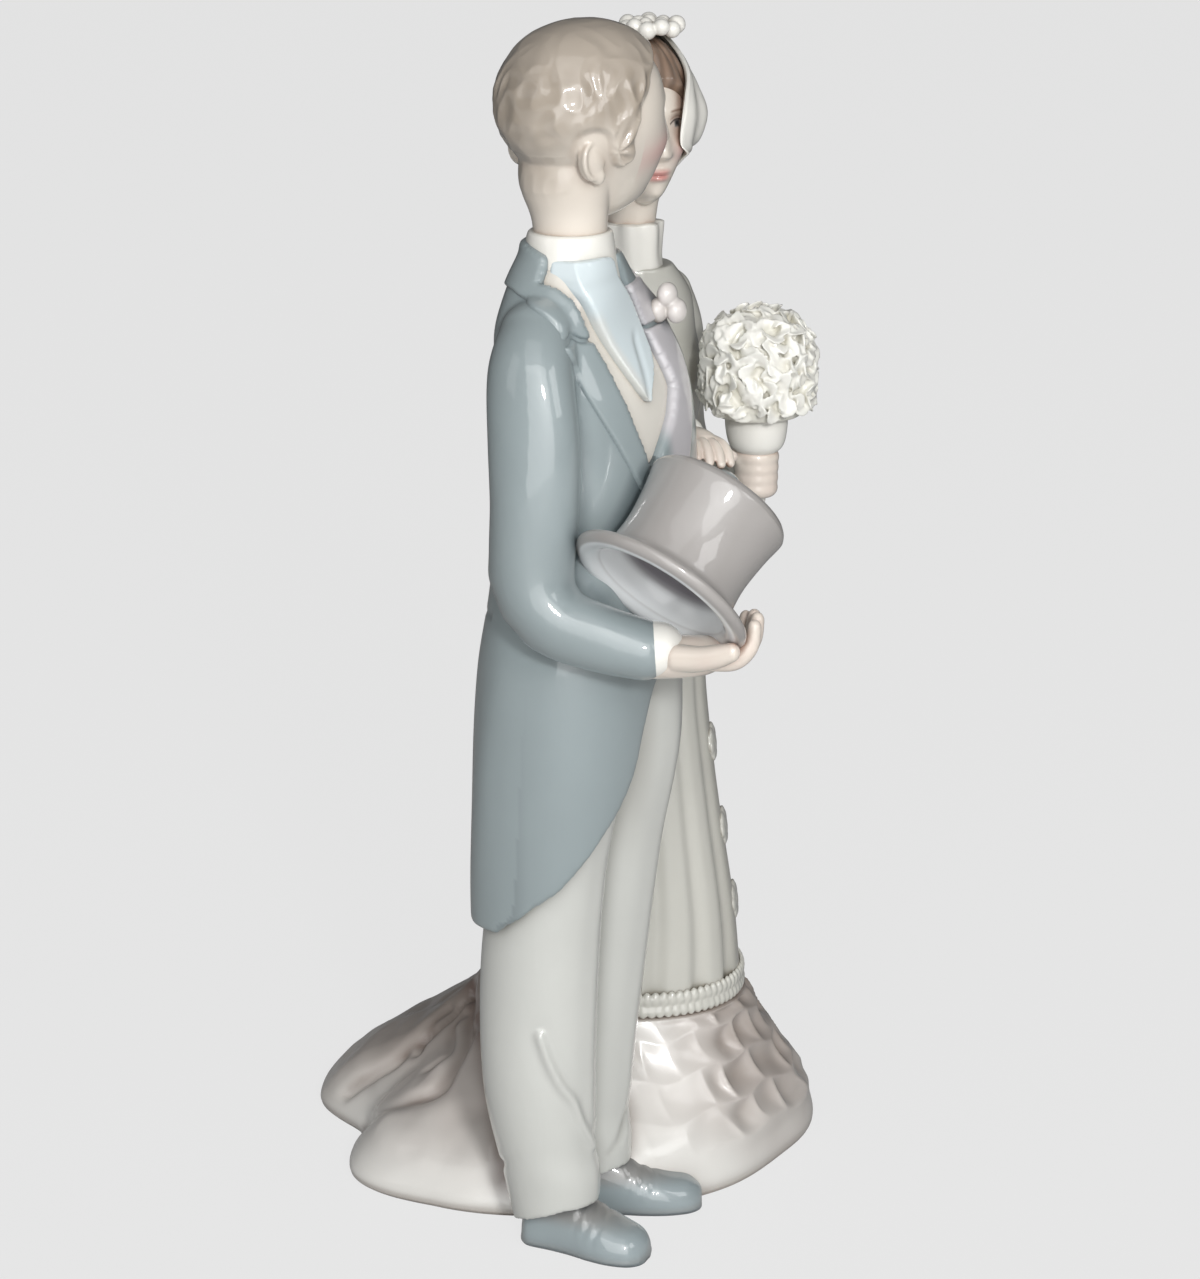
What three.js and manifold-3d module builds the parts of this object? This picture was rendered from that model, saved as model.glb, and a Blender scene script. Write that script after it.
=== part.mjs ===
// Wedding couple figurine in glazed porcelain: a groom in a tailcoat holding his top hat, and a bride
// with veil and bouquet on his left arm. Every casting, garment edge and hand-made flower is its own solid.
// Millimetres, +Z up, the couple faces -Y, the origin is on the floor under the middle of the group.
import * as THREE from "three";
import { mergeVertices } from "three/addons/utils/BufferGeometryUtils.js";
import Module from "manifold-3d";

const wasm = await Module();
wasm.setup();

// Driving dimensions of the groom, from the floor up.
const LEG_LENGTH = 92; // floor to hip
const TORSO_LENGTH = 64; // hip to the top of the coat
const NECK_LENGTH = 6; // coat to chin
const HEAD_HEIGHT = 28;
const LEG_SPREAD = 8.2; // from the body's middle to the middle of each thigh
const COAT_WIDTH = 33.6; // across the waist
const COAT_CLOTH = 1.5; // the coat stands this far off the waistcoat
const LAPEL_CLOTH = 1;
const SLEEVE_RADIUS = 6.2;
const SHOE_LENGTH = 20.6;
const SHOE_WIDTH = 9.4;

// Driving dimensions of the bride.
const BRIDE_SIDE = 33; // from the groom's axis to hers, across
const BRIDE_BACK = 9.5; // how far she stands behind his line
const BRIDE_DROP = 6; // her shoulders below his
const BRIDE_HEAD_HEIGHT = 24.4;
const LACE_HEIGHT = 27; // floor to the lace edge of the upper skirt
const HEM_THICKNESS = 3; // the rounded lip of the flounce on the floor
const PLEATS = 14;
const GATHERS = 20;
const VEIL_CLOTH = 1.3;

// Driving dimensions of the accessories.
const HAT_BRIM_RADIUS = 14.2;
const HAT_MOUTH_RADIUS = 11;
const HAT_CROWN_RADIUS = 9.9; // at the waist of the crown
const HAT_HEIGHT = 18.3;
const HAT_WALL = 1.5;
const BOUQUET_RADIUS = 10.2;
const BOUQUET_HEIGHT = 17.4;
const BLOSSOM_RADIUS = 3.2;
const BLOSSOMS = 26;
const STEM_RADIUS = 1.5;
const WREATH_RADIUS = 3.7;
const WREATH_BUDS = 8;
const ROSETTE_RADIUS = 2.9;

const SEAM = 0.3; // gap between neighbouring castings
const HALF_TURN = Math.PI;
const FULL_TURN = 2 * Math.PI;

const HIP = LEG_LENGTH;
const WAIST = HIP + 16;
const CHEST = HIP + 44;
const SHOULDER = HIP + 55;
const COLLAR = HIP + TORSO_LENGTH;
const CHIN = COLLAR + NECK_LENGTH;
const BRIDE_SHOULDER = SHOULDER - BRIDE_DROP;
const BRIDE_WAIST = BRIDE_SHOULDER - 32;

const radians = THREE.MathUtils.degToRad;
const smoothstep = THREE.MathUtils.smoothstep;
const vector = (x, y, z) => new THREE.Vector3(x, y, z);

// Curves and skins

function catmull(a, b, c, d, f) {
  return 0.5 * (2 * b + (c - a) * f + (2 * a - 5 * b + 4 * c - d) * f * f + (3 * b - a - 3 * c + d) * f ** 3);
}

// The row of numbers at share t of the way through a table of rows.
function along(rows, t) {
  const place = t * (rows.length - 1);
  const i = Math.min(Math.floor(place), rows.length - 2);
  const row = (k) => rows[THREE.MathUtils.clamp(k, 0, rows.length - 1)];
  return rows[0].map((_, c) => catmull(row(i - 1)[c], row(i)[c], row(i + 1)[c], row(i + 2)[c], place - i));
}

// A closed skin over rings that all have the same number of points: a fan closes each end,
// or the last ring joins the first where the rings go all the way round.
function skin(rings, round = false) {
  const sides = rings[0].length;
  const middle = (ring) => ring.reduce((sum, p) => sum.add(p), vector(0, 0, 0)).divideScalar(sides);
  const points = round ? rings.flat() : [...rings.flat(), middle(rings[0]), middle(rings.at(-1))];
  const end = rings.length * sides;
  const faces = [];
  for (let j = 0; j < sides; j++) {
    const next = (j + 1) % sides;
    for (let i = 0; i < (round ? rings.length : rings.length - 1); i++) {
      const a = i * sides;
      const b = (a + sides) % end;
      faces.push(a + j, a + next, b + next, a + j, b + next, b + j);
    }
    if (!round) faces.push(end, next, j, end + 1, end - sides + j, end - sides + next);
  }
  const geometry = new THREE.BufferGeometry().setFromPoints(points);
  geometry.setIndex(faces);
  return geometry;
}

function solid(geometry) {
  const bare = geometry.clone();
  bare.deleteAttribute("normal");
  bare.deleteAttribute("uv");
  const merged = mergeVertices(bare, 1e-4);
  const faces = new Uint32Array(merged.index.array);
  const make = () =>
    new wasm.Manifold(
      new wasm.Mesh({ numProp: 3, vertProperties: merged.attributes.position.array, triVerts: faces }),
    );
  if (make().volume() < 0) for (let i = 0; i < faces.length; i += 3) faces.subarray(i, i + 2).reverse();
  return make();
}

const cut = (body, ...tools) => tools.reduce((left, tool) => left.subtract(tool), body);
const join = (...bodies) => bodies.reduce((all, body) => all.add(body));
const mapped = (body, matrix) => body.transform(matrix.toArray());

// The largest connected piece, without the slivers that a cut leaves.
function whole(body) {
  return body.decompose().reduce((best, piece) => (piece.volume() > best.volume() ? piece : best));
}

const plain = () => 0;

// An upright form from level sections: rows of height, middle x, middle y, half width, half depth and turn.
function upright(rows, { sides = 18, rings = 12, grow = 0, fold = plain, power = 2, from = 0 } = {}) {
  const made = [];
  for (let i = 0; i <= rings; i++) {
    const t = from + ((1 - from) * i) / rings;
    const [z, x, y, wide, deep, turn = 0] = along(rows, t);
    const spin = radians(turn);
    const end = i === 0 ? -grow : i === rings ? grow : 0;
    const ring = [];
    for (let j = 0; j < sides; j++) {
      const angle = (j / sides) * FULL_TURN;
      const [c, s] = [Math.cos(angle), Math.sin(angle)];
      const u = (wide + grow) * Math.sign(c) * Math.abs(c) ** (2 / power);
      const v = (deep + grow) * Math.sign(s) * Math.abs(s) ** (2 / power);
      const reach = 1 + fold(angle, t) / Math.hypot(u, v);
      const out = vector(reach * u, reach * v, 0).applyAxisAngle(vector(0, 0, 1), spin);
      ring.push(out.add(vector(x, y, z + end)));
    }
    made.push(ring);
  }
  return skin(made);
}

// A limb along a path: rows of x, y, z, radius along the side vector and radius across it, with round ends.
function limb(rows, { sides = 12, rings = 8, grow = 0, side = vector(1, 0, 0), round = 1 } = {}) {
  const stations = Array.from({ length: rings + 1 }, (_, i) => along(rows, i / rings));
  const spot = (row) => vector(row[0], row[1], row[2]);
  const made = [];
  stations.forEach((row, i) => {
    const back = spot(stations[Math.max(i - 1, 0)]);
    const ahead = spot(stations[Math.min(i + 1, rings)]).sub(back).normalize();
    const u = side.clone().addScaledVector(ahead, -side.dot(ahead)).normalize();
    const v = vector(0, 0, 0).crossVectors(ahead, u);
    const [deep, across] = [row[3] + grow, (row[4] ?? row[3]) + grow];
    const addRing = (lean) => {
      const middle = spot(row).addScaledVector(ahead, Math.min(across, deep) * Math.sin(lean));
      const point = (j) => {
        const angle = (j / sides) * FULL_TURN;
        const out = u.clone().multiplyScalar(deep * Math.cos(angle));
        out.addScaledVector(v, across * Math.sin(angle));
        return out.multiplyScalar(Math.cos(lean)).add(middle);
      };
      made.push(Array.from({ length: sides }, (_, j) => point(j)));
    };
    const step = HALF_TURN / 2 / (round + 1);
    if (i === 0) for (let k = round; k > 0; k--) addRing(-k * step);
    addRing(0);
    if (i === rings) for (let k = 1; k <= round; k++) addRing(k * step);
  });
  return skin(made);
}

function ball(x, y, z, rx, ry = rx, rz = rx, sides = 8) {
  const sphere = new THREE.SphereGeometry(1, sides, Math.max(4, Math.round(sides * 0.7)));
  return sphere.rotateX(HALF_TURN / 2).scale(rx, ry, rz).translate(x, y, z);
}

// A slab whose outline is drawn in the front view, across and up, from one depth to another.
function frontSlab(outline, near, far) {
  const shape = new THREE.Shape(outline.map(([x, z]) => new THREE.Vector2(x, z)));
  const slab = new THREE.ExtrudeGeometry(shape, { depth: far - near, bevelEnabled: false });
  return solid(slab.rotateX(HALF_TURN / 2).translate(0, far, 0));
}

// A slab whose outline is drawn in the side view, back and up, from one side to the other.
function sideSlab(outline, left, right) {
  const shape = new THREE.Shape(outline.map(([y, z]) => new THREE.Vector2(y, z)));
  const slab = new THREE.ExtrudeGeometry(shape, { depth: right - left, bevelEnabled: false });
  const turn = new THREE.Matrix4().makeBasis(vector(0, 1, 0), vector(0, 0, 1), vector(1, 0, 0));
  return solid(slab.applyMatrix4(turn).translate(left, 0, 0));
}

function smooth(outline, count) {
  const curve = new THREE.SplineCurve(outline.map(([a, b]) => new THREE.Vector2(a, b)));
  return curve.getPoints(count).map((p) => [p.x, p.y]);
}

const REACH = 60;
const FLOOR = solid(new THREE.BoxGeometry(4 * REACH, 4 * REACH, 20).translate(0, 0, -10));

// Groom: shoes and trousers

const RIGHT_SHOE = { x: -11.3, y: 7.4, point: 3 };
const LEFT_SHOE = { x: -0.8, y: 8.2, point: 27 };

// Rows from heel to toe: share of the length, half width as a share of the shoe's width, height.
const SHOE_ROWS = [
  [0.0, 0.26, 5],
  [0.1, 0.36, 6.6],
  [0.28, 0.38, 8],
  [0.46, 0.43, 7.2],
  [0.64, 0.5, 5.6],
  [0.8, 0.49, 4.6],
  [0.93, 0.38, 4],
  [1.0, 0.2, 3],
];

// The sole is flat on the floor; the upper is an arch over it.
function shoe({ x, y, point }, grow = 0) {
  const sides = 14;
  const rings = 12;
  const sink = 1.6;
  const made = [];
  for (let i = 0; i <= rings; i++) {
    const [share, half, height] = along(SHOE_ROWS, i / rings);
    const end = i === 0 ? -grow : i === rings ? grow : 0;
    const ring = [];
    for (let j = 0; j < sides; j++) {
      const angle = (j / sides) * FULL_TURN;
      const up = Math.sin(angle);
      const rise = 0.3 * height + (up > 0 ? 0.7 * height : 0.3 * height + sink) * up;
      const out = Math.sign(Math.cos(angle)) * Math.abs(Math.cos(angle)) ** 0.8;
      ring.push(vector(out * (half * SHOE_WIDTH + grow), -(share * SHOE_LENGTH + end), rise + grow * up));
    }
    made.push(ring);
  }
  return cut(solid(skin(made).rotateZ(radians(point)).translate(x, y, 0)), FLOOR);
}

const KNEE = LEG_LENGTH * 0.48;

// Rows up the trouser leg: height, x, y, half width, half depth.
const RIGHT_LEG = [
  [1.6, -11.5, 1.2, 6.3, 6.6],
  [12, -11.2, 2.4, 6.6, 7.3],
  [26, -10.6, 4.4, 7.5, 8.3],
  [KNEE, -LEG_SPREAD - 1, 5.2, 7.9, 8.8],
  [HIP - 30, -LEG_SPREAD - 0.5, 4.4, 8.2, 9.2],
  [HIP - 14, -LEG_SPREAD + 0.1, 2.2, 8.2, 9.8],
  [HIP, -LEG_SPREAD + 0.2, 1.2, 8.4, 9.8],
  [HIP + 10, -LEG_SPREAD + 2, 0.4, 8, 9.6],
];
const LEFT_LEG = [
  [1.6, 2.4, 4.2, 6.2, 6.8],
  [12, 2.6, 5.4, 6.3, 7],
  [26, 3.8, 5.8, 7.1, 7.8],
  [KNEE, 5.6, 5, 8, 8.4],
  [HIP - 30, LEG_SPREAD - 1.2, 3.2, 8.6, 9.2],
  [HIP - 14, LEG_SPREAD - 0.4, 0.8, 8.6, 10],
  [HIP, LEG_SPREAD - 0.4, 0.6, 8.3, 9.8],
  [HIP + 10, LEG_SPREAD - 2, 0.2, 8, 9.6],
];

// The trouser leg breaks over the instep in shallow folds, and its hem rises towards the front.
function trouserLeg(rows, grow = 0) {
  const ridge = (t, at, wide) => Math.exp(-(((t - at) / wide) ** 2));
  const breaks = (t) => 0.6 * (ridge(t, 0.15, 0.05) - ridge(t, 0.25, 0.06));
  const fold = (angle, t) => breaks(t) * Math.max(0, -Math.sin(angle));
  const hem = [
    [REACH, 1.8 - grow],
    [8, 1.8 - grow],
    [-8, 5.6 - grow],
    [-REACH, 5.6 - grow],
    [-REACH, -10],
    [REACH, -10],
  ];
  return cut(solid(upright(rows, { sides: 14, rings: 11, grow, fold })), sideSlab(hem, -REACH, REACH));
}

// Groom: waistcoat, coat and what shows in its opening

const HALF_COAT = COAT_WIDTH / 2;
const COAT_ROWS = [
  [HIP - 42, 0, 6.6, HALF_COAT + 1.6, 11, 0],
  [HIP - 30, 0, 4.7, HALF_COAT + 2.2, 13.4, 0],
  [HIP - 12, 0, 3.5, HALF_COAT + 2.5, 14, 0],
  [HIP + 2, 0, 2.6, HALF_COAT + 2, 13.8, 0],
  [WAIST, 0, 1.5, HALF_COAT, 12.8, -4],
  [WAIST + 14, 0, 0.6, HALF_COAT, 12.8, -8],
  [CHEST, 0, 0.9, HALF_COAT + 0.2, 10.9, -8],
  [SHOULDER - 2, 0, 3.4, HALF_COAT - 0.6, 9.4, -4],
  [SHOULDER + 4, -1.8, 3.7, HALF_COAT - 5.2, 8.3, 0],
  [COLLAR, -2.2, 3.5, 7.6, 6.7, 0],
];

function coatForm(grow = 0, { from = 0, sides = 20, rings = 14 } = {}) {
  return solid(upright(COAT_ROWS, { sides, rings, grow, from, power: 2.5 }));
}

// The waistcoat casting fills the hollow of the coat from the trouser top to the collar, ring for ring.
const coatHollow = () => coatForm(SEAM - COAT_CLOTH, { sides: 18, rings: 15 });
const waistcoatForm = (grow = 0) => coatForm(grow - COAT_CLOTH, { from: 6 / 15, sides: 18, rings: 9 });

// Outlines on the coat's front are drawn for a half width of 16.8 and follow the coat's own width.
const onFront = (outline) => outline.map(([across, up]) => [(across * HALF_COAT) / 16.8, up]);

// The opening of the coat in the front view: its edge on the groom's right, then on his left.
const RIGHT_EDGE = onFront([
  [-4.8, CHEST - 11],
  [-7.1, CHEST - 2],
  [-10.2, CHEST + 6],
  [-11.9, CHEST + 14],
  [-11, COLLAR + 3],
]);
const LEFT_EDGE = onFront([
  [-1.4, COLLAR + 3],
  [0.8, COLLAR - 6],
  [3, CHEST + 7],
  [4, CHEST],
  [1.6, CHEST - 4],
  [-3.4, CHEST - 9.6],
]);
const RIGHT_LAPEL = onFront([
  [-11.8, SHOULDER + 1.6],
  [-14.9, SHOULDER - 2.4],
  [-15.2, CHEST + 6],
  [-13.6, CHEST],
  [-11.2, CHEST - 6],
  [-8, CHEST - 13],
  [-4.6, WAIST + 9],
  [-3.2, WAIST + 10],
]);
const LEFT_LAPEL = onFront([
  [-2.4, WAIST + 10],
  [1.4, WAIST + 12],
  [6, CHEST - 8],
  [8.8, CHEST - 1],
  [10.2, CHEST + 7],
  [9.6, SHOULDER - 1],
  [1.4, SHOULDER + 4],
]);

// The cutaway: from the waist the front edges sweep back and down to the tails, further back on his left.
// Drawn as it looks a little from the front of the side view: distance back from the middle, and height.
const CUTAWAY_VIEW = 27;
const TAIL_END = HIP - 38.6;
const CUTAWAY = [
  [-16, HIP + 5],
  [-10.5, HIP + 4],
  [-8.3, HIP],
  [-6.7, HIP - 6],
  [-5.2, HIP - 13],
  [-3, HIP - 18],
  [0, HIP - 22.6],
  [2.7, HIP - 26.2],
  [6, HIP - 30],
  [9.7, HIP - 33],
  [12.8, HIP - 35.8],
  [15.8, TAIL_END],
];

function cutaway() {
  const sweep = [...smooth(CUTAWAY, 18), [REACH, TAIL_END], [REACH, -10], [-REACH, -10], [-REACH, HIP + 5]];
  const right = sideSlab(sweep, -REACH, 0).rotate([0, 0, CUTAWAY_VIEW]);
  const left = sideSlab(sweep, 0, REACH).translate([0, 2.5, -2.4]);
  const below = solid(new THREE.BoxGeometry(2 * REACH, 2 * REACH, TAIL_END).translate(0, 0, TAIL_END / 2));
  return [right, left, below];
}

function coat(tools) {
  const opening = frontSlab([...RIGHT_EDGE, ...LEFT_EDGE], -REACH, 4);
  const backVent = frontSlab([[-0.2, 0], [0.2, 0], [0.2, HIP + 6], [-0.2, HIP + 6]], 8, REACH);
  return whole(cut(coatForm(), ...cutaway(), opening, backVent, ...tools));
}

// A layer of cloth on a form, kept only inside a slab.
function layer(form, slab, lift, thickness) {
  return slab.intersect(form(lift + thickness)).subtract(form(lift));
}

const COLLAR_ZONE = [
  [-14, SHOULDER - 3.4],
  [-3, SHOULDER - 1.8],
  [1, SHOULDER + 0.8],
  [5, SHOULDER + 2.8],
  [14, SHOULDER + 3.6],
  [14, COLLAR + 6],
  [-14, COLLAR + 6],
];
const CRAVAT = onFront([
  [-8, COLLAR - 1],
  [-8.2, SHOULDER + 1],
  [-6.6, CHEST + 7],
  [-4.6, CHEST + 1],
  [-3, CHEST - 1.4],
  [-1.4, CHEST + 2.6],
  [0.5, CHEST + 7],
  [-0.4, SHOULDER],
  [-2.6, SHOULDER + 4.6],
  [-3.4, COLLAR - 1],
]);

const NECK = { x: -2.5, y: 3.6 };

function shirtCollar(grow = 0) {
  const rows = [
    [COLLAR - 4, NECK.x, NECK.y - 0.2, 8, 7.2],
    [COLLAR, NECK.x, NECK.y, 7.1, 6.7],
    [COLLAR + 3.2, NECK.x, NECK.y, 6.5, 6.2],
  ];
  return solid(upright(rows, { sides: 20, rings: 5, grow }));
}

// Heads

// How far the face stands out from a plain egg, in shares of the half height: x across, z up from the middle.
function faceRelief(x, z) {
  const bump = (cx, cz, wide, high) => Math.exp(-(((x - cx) / wide) ** 2) - ((z - cz) / high) ** 2);
  const pair = (cx, cz, wide, high) => bump(cx, cz, wide, high) + bump(-cx, cz, wide, high);
  const bridge = smoothstep(-z, -0.16, 0.3) * (1 - smoothstep(-z, 0.32, 0.42));
  const nose = 0.18 * bridge * Math.exp(-((x / (0.07 + 0.06 * bridge)) ** 2));
  const eyes = 0.03 * pair(0.27, 0.04, 0.09, 0.05) - 0.075 * pair(0.27, 0.07, 0.15, 0.09);
  const lips = 0.05 * bump(0, -0.53, 0.15, 0.04) + 0.055 * bump(0, -0.62, 0.13, 0.04);
  return nose + eyes + lips + 0.04 * pair(0.36, -0.26, 0.18, 0.16) + 0.07 * bump(0, -0.86, 0.2, 0.12);
}

// A head about its own middle, looking along -Y. The skull is squarer than the jaw.
function headForm(half, grow = 0, { sides = 20, rings = 14, face = true } = {}) {
  const { squareness } = half;
  const sphere = new THREE.SphereGeometry(1, sides, rings).rotateX(HALF_TURN / 2);
  const place = sphere.attributes.position;
  for (let i = 0; i < place.count; i++) {
    const p = vector(place.getX(i), place.getY(i), place.getZ(i));
    const power = 2 + squareness * smoothstep(p.z, -0.2, 0.5);
    const reach = Math.abs(p.x) ** power + Math.abs(p.y) ** power + Math.abs(p.z) ** power;
    p.multiplyScalar(reach ** (-1 / power));
    const jaw = smoothstep(-p.z, -0.1, 1);
    const wide = half.width * (1 - 0.34 * jaw) + grow;
    const deep = half.depth * (p.y < 0 ? 0.96 : 1 - 0.42 * jaw) + grow;
    const front = face ? smoothstep(-p.y, 0.15, 0.6) : 0;
    const proud = front * half.height * faceRelief((p.x * wide) / half.height, p.z);
    place.setXYZ(i, p.x * wide, p.y * deep - proud - 0.14 * half.depth * jaw, p.z * (half.height + grow));
  }
  return sphere;
}

function headPlace({ x, y, z, yaw, pitch }) {
  const turn = new THREE.Euler(radians(pitch), 0, radians(yaw), "ZYX");
  return new THREE.Matrix4().makeRotationFromEuler(turn).setPosition(x, y, z);
}

const GROOM_HEAD_SIZE = { height: HEAD_HEIGHT / 2, width: 10.2, depth: 11.9, squareness: 0.35 };
const GROOM_HEAD = { x: 0.4, y: 3, z: CHIN + HEAD_HEIGHT / 2 - 1.8, yaw: 64, pitch: -5 };
const BRIDE_HEAD_SIZE = { height: BRIDE_HEAD_HEIGHT / 2, width: 7, depth: 9, squareness: 0 };
const BRIDE_HEAD = { x: BRIDE_SIDE - 8.8, y: BRIDE_BACK - 4, z: GROOM_HEAD.z - 3.2, yaw: -43, pitch: -2 };

// An ear is a shallow shell, hollowed in front, low on the side of the skull.
function ears(size, grow = 0) {
  const ear = (way) => {
    const rim = ball(way * (size.width - 1.4), 5.4, -4.2, 2.5 + grow, 2.7 + grow, 3.5 + grow, 9);
    const shell = ball(way * (size.width + 1.2), 4.4, -4, 1, 1.4, 2, 6);
    return grow > 0 ? solid(rim) : cut(solid(rim), solid(shell));
  };
  return join(ear(1), ear(-1));
}

function groomHead(grow = 0) {
  const skull = solid(headForm(GROOM_HEAD_SIZE, grow));
  return mapped(join(skull, ears(GROOM_HEAD_SIZE, grow)), headPlace(GROOM_HEAD));
}

function groomNeck(grow = 0) {
  const rows = [
    [COLLAR - 6, NECK.x, NECK.y, 5.4, 5.4],
    [COLLAR + 4, NECK.x, NECK.y, 5.5, 5.5],
    [CHIN + 3.6, NECK.x, NECK.y + 0.6, 6.7, 6.7],
    [CHIN + 9, GROOM_HEAD.x - 1, GROOM_HEAD.y + 0.6, 8.2, 8.2],
  ];
  return solid(upright(rows, { sides: 12, rings: 5, grow }));
}

// Hair over the skull: the head's own form standing proud in waves, cut along the hairline in the side view.
function hair(size, hairline, place, { proud, wave, curls }, grow = 0) {
  const form = headForm(size, proud + grow, { face: false, sides: 18, rings: 12 });
  const spots = form.attributes.position;
  for (let i = 0; i < spots.count; i++) {
    const p = vector(spots.getX(i), spots.getY(i), spots.getZ(i));
    const ripple = Math.sin(curls * Math.atan2(p.x, p.y) + p.z * 0.5) * Math.sin(p.z * 0.9 + 0.6 * p.y);
    p.addScaledVector(p.clone().normalize(), (wave * ripple * p.z) / (Math.abs(p.z) + 3));
    spots.setXYZ(i, p.x, p.y, p.z);
  }
  const edge = smooth(hairline, 20).map(([y, z]) => [y - grow, z - grow]);
  const face = [...edge, [REACH, -REACH], [-REACH, -REACH], [-REACH, edge[0][1]]];
  return mapped(cut(solid(form), sideSlab(face, -REACH, REACH)), headPlace(place));
}

const GROOM_HAIRLINE = [
  [-18, 9.4],
  [-11, 8.8],
  [-7, 7.4],
  [-5.8, 3.4],
  [-3.6, -0.6],
  [-1.4, -3],
  [0.8, -2.6],
  [3, 0.6],
  [7.4, 0.4],
  [10, -3.6],
  [20, -5.6],
];
const BRIDE_HAIRLINE = [
  [-14, 8],
  [-8.6, 7.2],
  [-5.4, 3.4],
  [-3.4, 0],
  [-1.4, -3.4],
  [2, -6],
  [6, -7.6],
  [16, -8.4],
];
const GROOM_HAIR = { proud: 1.5, wave: 0.5, curls: 6 };
const BRIDE_HAIR = { proud: 1.1, wave: 0.3, curls: 8 };
const groomHair = (grow) => hair(GROOM_HEAD_SIZE, GROOM_HAIRLINE, GROOM_HEAD, GROOM_HAIR, grow);
const brideHair = (grow) => hair(BRIDE_HEAD_SIZE, BRIDE_HAIRLINE, BRIDE_HEAD, BRIDE_HAIR, grow);

// Sleeves, cuffs and hands

const RIGHT_WRIST = vector(-16.6, -15.4, WAIST - 6.2);
const LEFT_WRIST = vector(12, -13.6, WAIST + 10);

// Rows down the sleeve: x, y, z, half width, half depth.
const RIGHT_SLEEVE = [
  [-14.4, 3.4, SHOULDER + 0.4, 5, 5.6],
  [-17.6, 2.2, SHOULDER - 5.6, SLEEVE_RADIUS - 0.4, SLEEVE_RADIUS + 0.2],
  [-19.3, 0.8, CHEST - 4, SLEEVE_RADIUS - 0.4, SLEEVE_RADIUS + 0.7],
  [-20.2, 0.4, WAIST + 15, SLEEVE_RADIUS - 0.6, SLEEVE_RADIUS + 0.6],
  [-20.5, 0.6, WAIST + 3.4, SLEEVE_RADIUS - 0.6, SLEEVE_RADIUS + 0.2],
  [-20.2, -3, WAIST - 2.2, SLEEVE_RADIUS - 0.8, SLEEVE_RADIUS - 0.6],
  [-18.6, -9.4, WAIST - 4.6, SLEEVE_RADIUS - 1.2, SLEEVE_RADIUS - 1.2],
  [RIGHT_WRIST.x, RIGHT_WRIST.y, RIGHT_WRIST.z, SLEEVE_RADIUS - 1.7, SLEEVE_RADIUS - 1.7],
];
const LEFT_SLEEVE = [
  [12.6, 4.4, SHOULDER - 0.6, 4.4, 4.8],
  [15.6, 4.6, SHOULDER - 6.6, SLEEVE_RADIUS - 1.4, SLEEVE_RADIUS - 0.8],
  [17, 4.6, CHEST - 6, SLEEVE_RADIUS - 1.4, SLEEVE_RADIUS - 0.6],
  [19, 4.2, WAIST + 14, SLEEVE_RADIUS - 1.4, SLEEVE_RADIUS - 1],
  [19.2, 1.4, WAIST + 6, SLEEVE_RADIUS - 1.6, SLEEVE_RADIUS - 1.6],
  [16.6, -6.4, WAIST + 8, SLEEVE_RADIUS - 1.8, SLEEVE_RADIUS - 1.8],
  [LEFT_WRIST.x, LEFT_WRIST.y, LEFT_WRIST.z, SLEEVE_RADIUS - 2.1, SLEEVE_RADIUS - 2.1],
];

const sleeve = (rows, grow = 0) => solid(limb(rows, { sides: 12, rings: 10, grow }));

// A short cuff that goes on where a sleeve ends.
function cuff(wrist, aim, radius, length, grow = 0) {
  const rows = [-1, length / 2, length].map((step, i) => {
    return [...wrist.clone().addScaledVector(aim, step).toArray(), radius - 0.1 * i];
  });
  return solid(limb(rows, { sides: 12, rings: 2, grow, side: vector(0.3, 0.2, 1) }));
}

// A digit from a base point, bending upwards joint by joint.
function digit(base, { heading, bends, lengths, radii }) {
  const rows = [[...base, radii[0]]];
  let [x, y, z] = base;
  let lift = 0;
  lengths.forEach((length, i) => {
    lift += bends[i];
    x += length * Math.cos(radians(lift)) * Math.cos(radians(heading));
    y += length * Math.cos(radians(lift)) * Math.sin(radians(heading));
    z += length * Math.sin(radians(lift));
    rows.push([x, y, z, radii[i + 1]]);
  });
  return solid(limb(rows, { sides: 6, rings: 4, side: vector(0, 1, 0) }));
}

// A left hand along +X with its palm facing +Z; mirror -1 makes it a right hand.
function hand({ size, bends, thumb, spread = 4, mirror }) {
  const palm = [
    [-1.6, 0, 0, 2.2, 2.1],
    [1.6, 0.1, 0, 2.9, 2.1],
    [4.6, 0, 0, 3.3, 1.9],
    [6.4, 0, 0.2, 3.2, 1.5],
  ];
  const parts = [solid(limb(palm, { sides: 10, rings: 4, side: vector(0, 1, 0) }))];
  [0.92, 1, 0.95, 0.78].forEach((long, k) => {
    const lengths = [3.1 * long, 2.5 * long, 2.1 * long];
    const heading = (1.5 - k) * spread;
    const radii = [1.15, 1.12, 1.05, 0.9];
    parts.push(digit([5.6, (1.5 - k) * 1.72, 0.1], { heading, bends, lengths, radii }));
  });
  parts.push(digit([1.2, 2, 0.4], { ...thumb, lengths: [2.9, 2.7, 2], radii: [1.4, 1.3, 1.2, 1] }));
  return mapped(join(...parts), new THREE.Matrix4().makeScale(size, size * mirror, size));
}

// Puts a hand at a wrist, pointing along its aim, with its palm turned towards the palm vector.
function placeHand(made, wrist, aim, palm) {
  const z = palm.clone().addScaledVector(aim, -palm.dot(aim)).normalize();
  const y = vector(0, 0, 0).crossVectors(z, aim);
  return mapped(made, new THREE.Matrix4().makeBasis(aim, y, z).setPosition(wrist));
}

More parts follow.
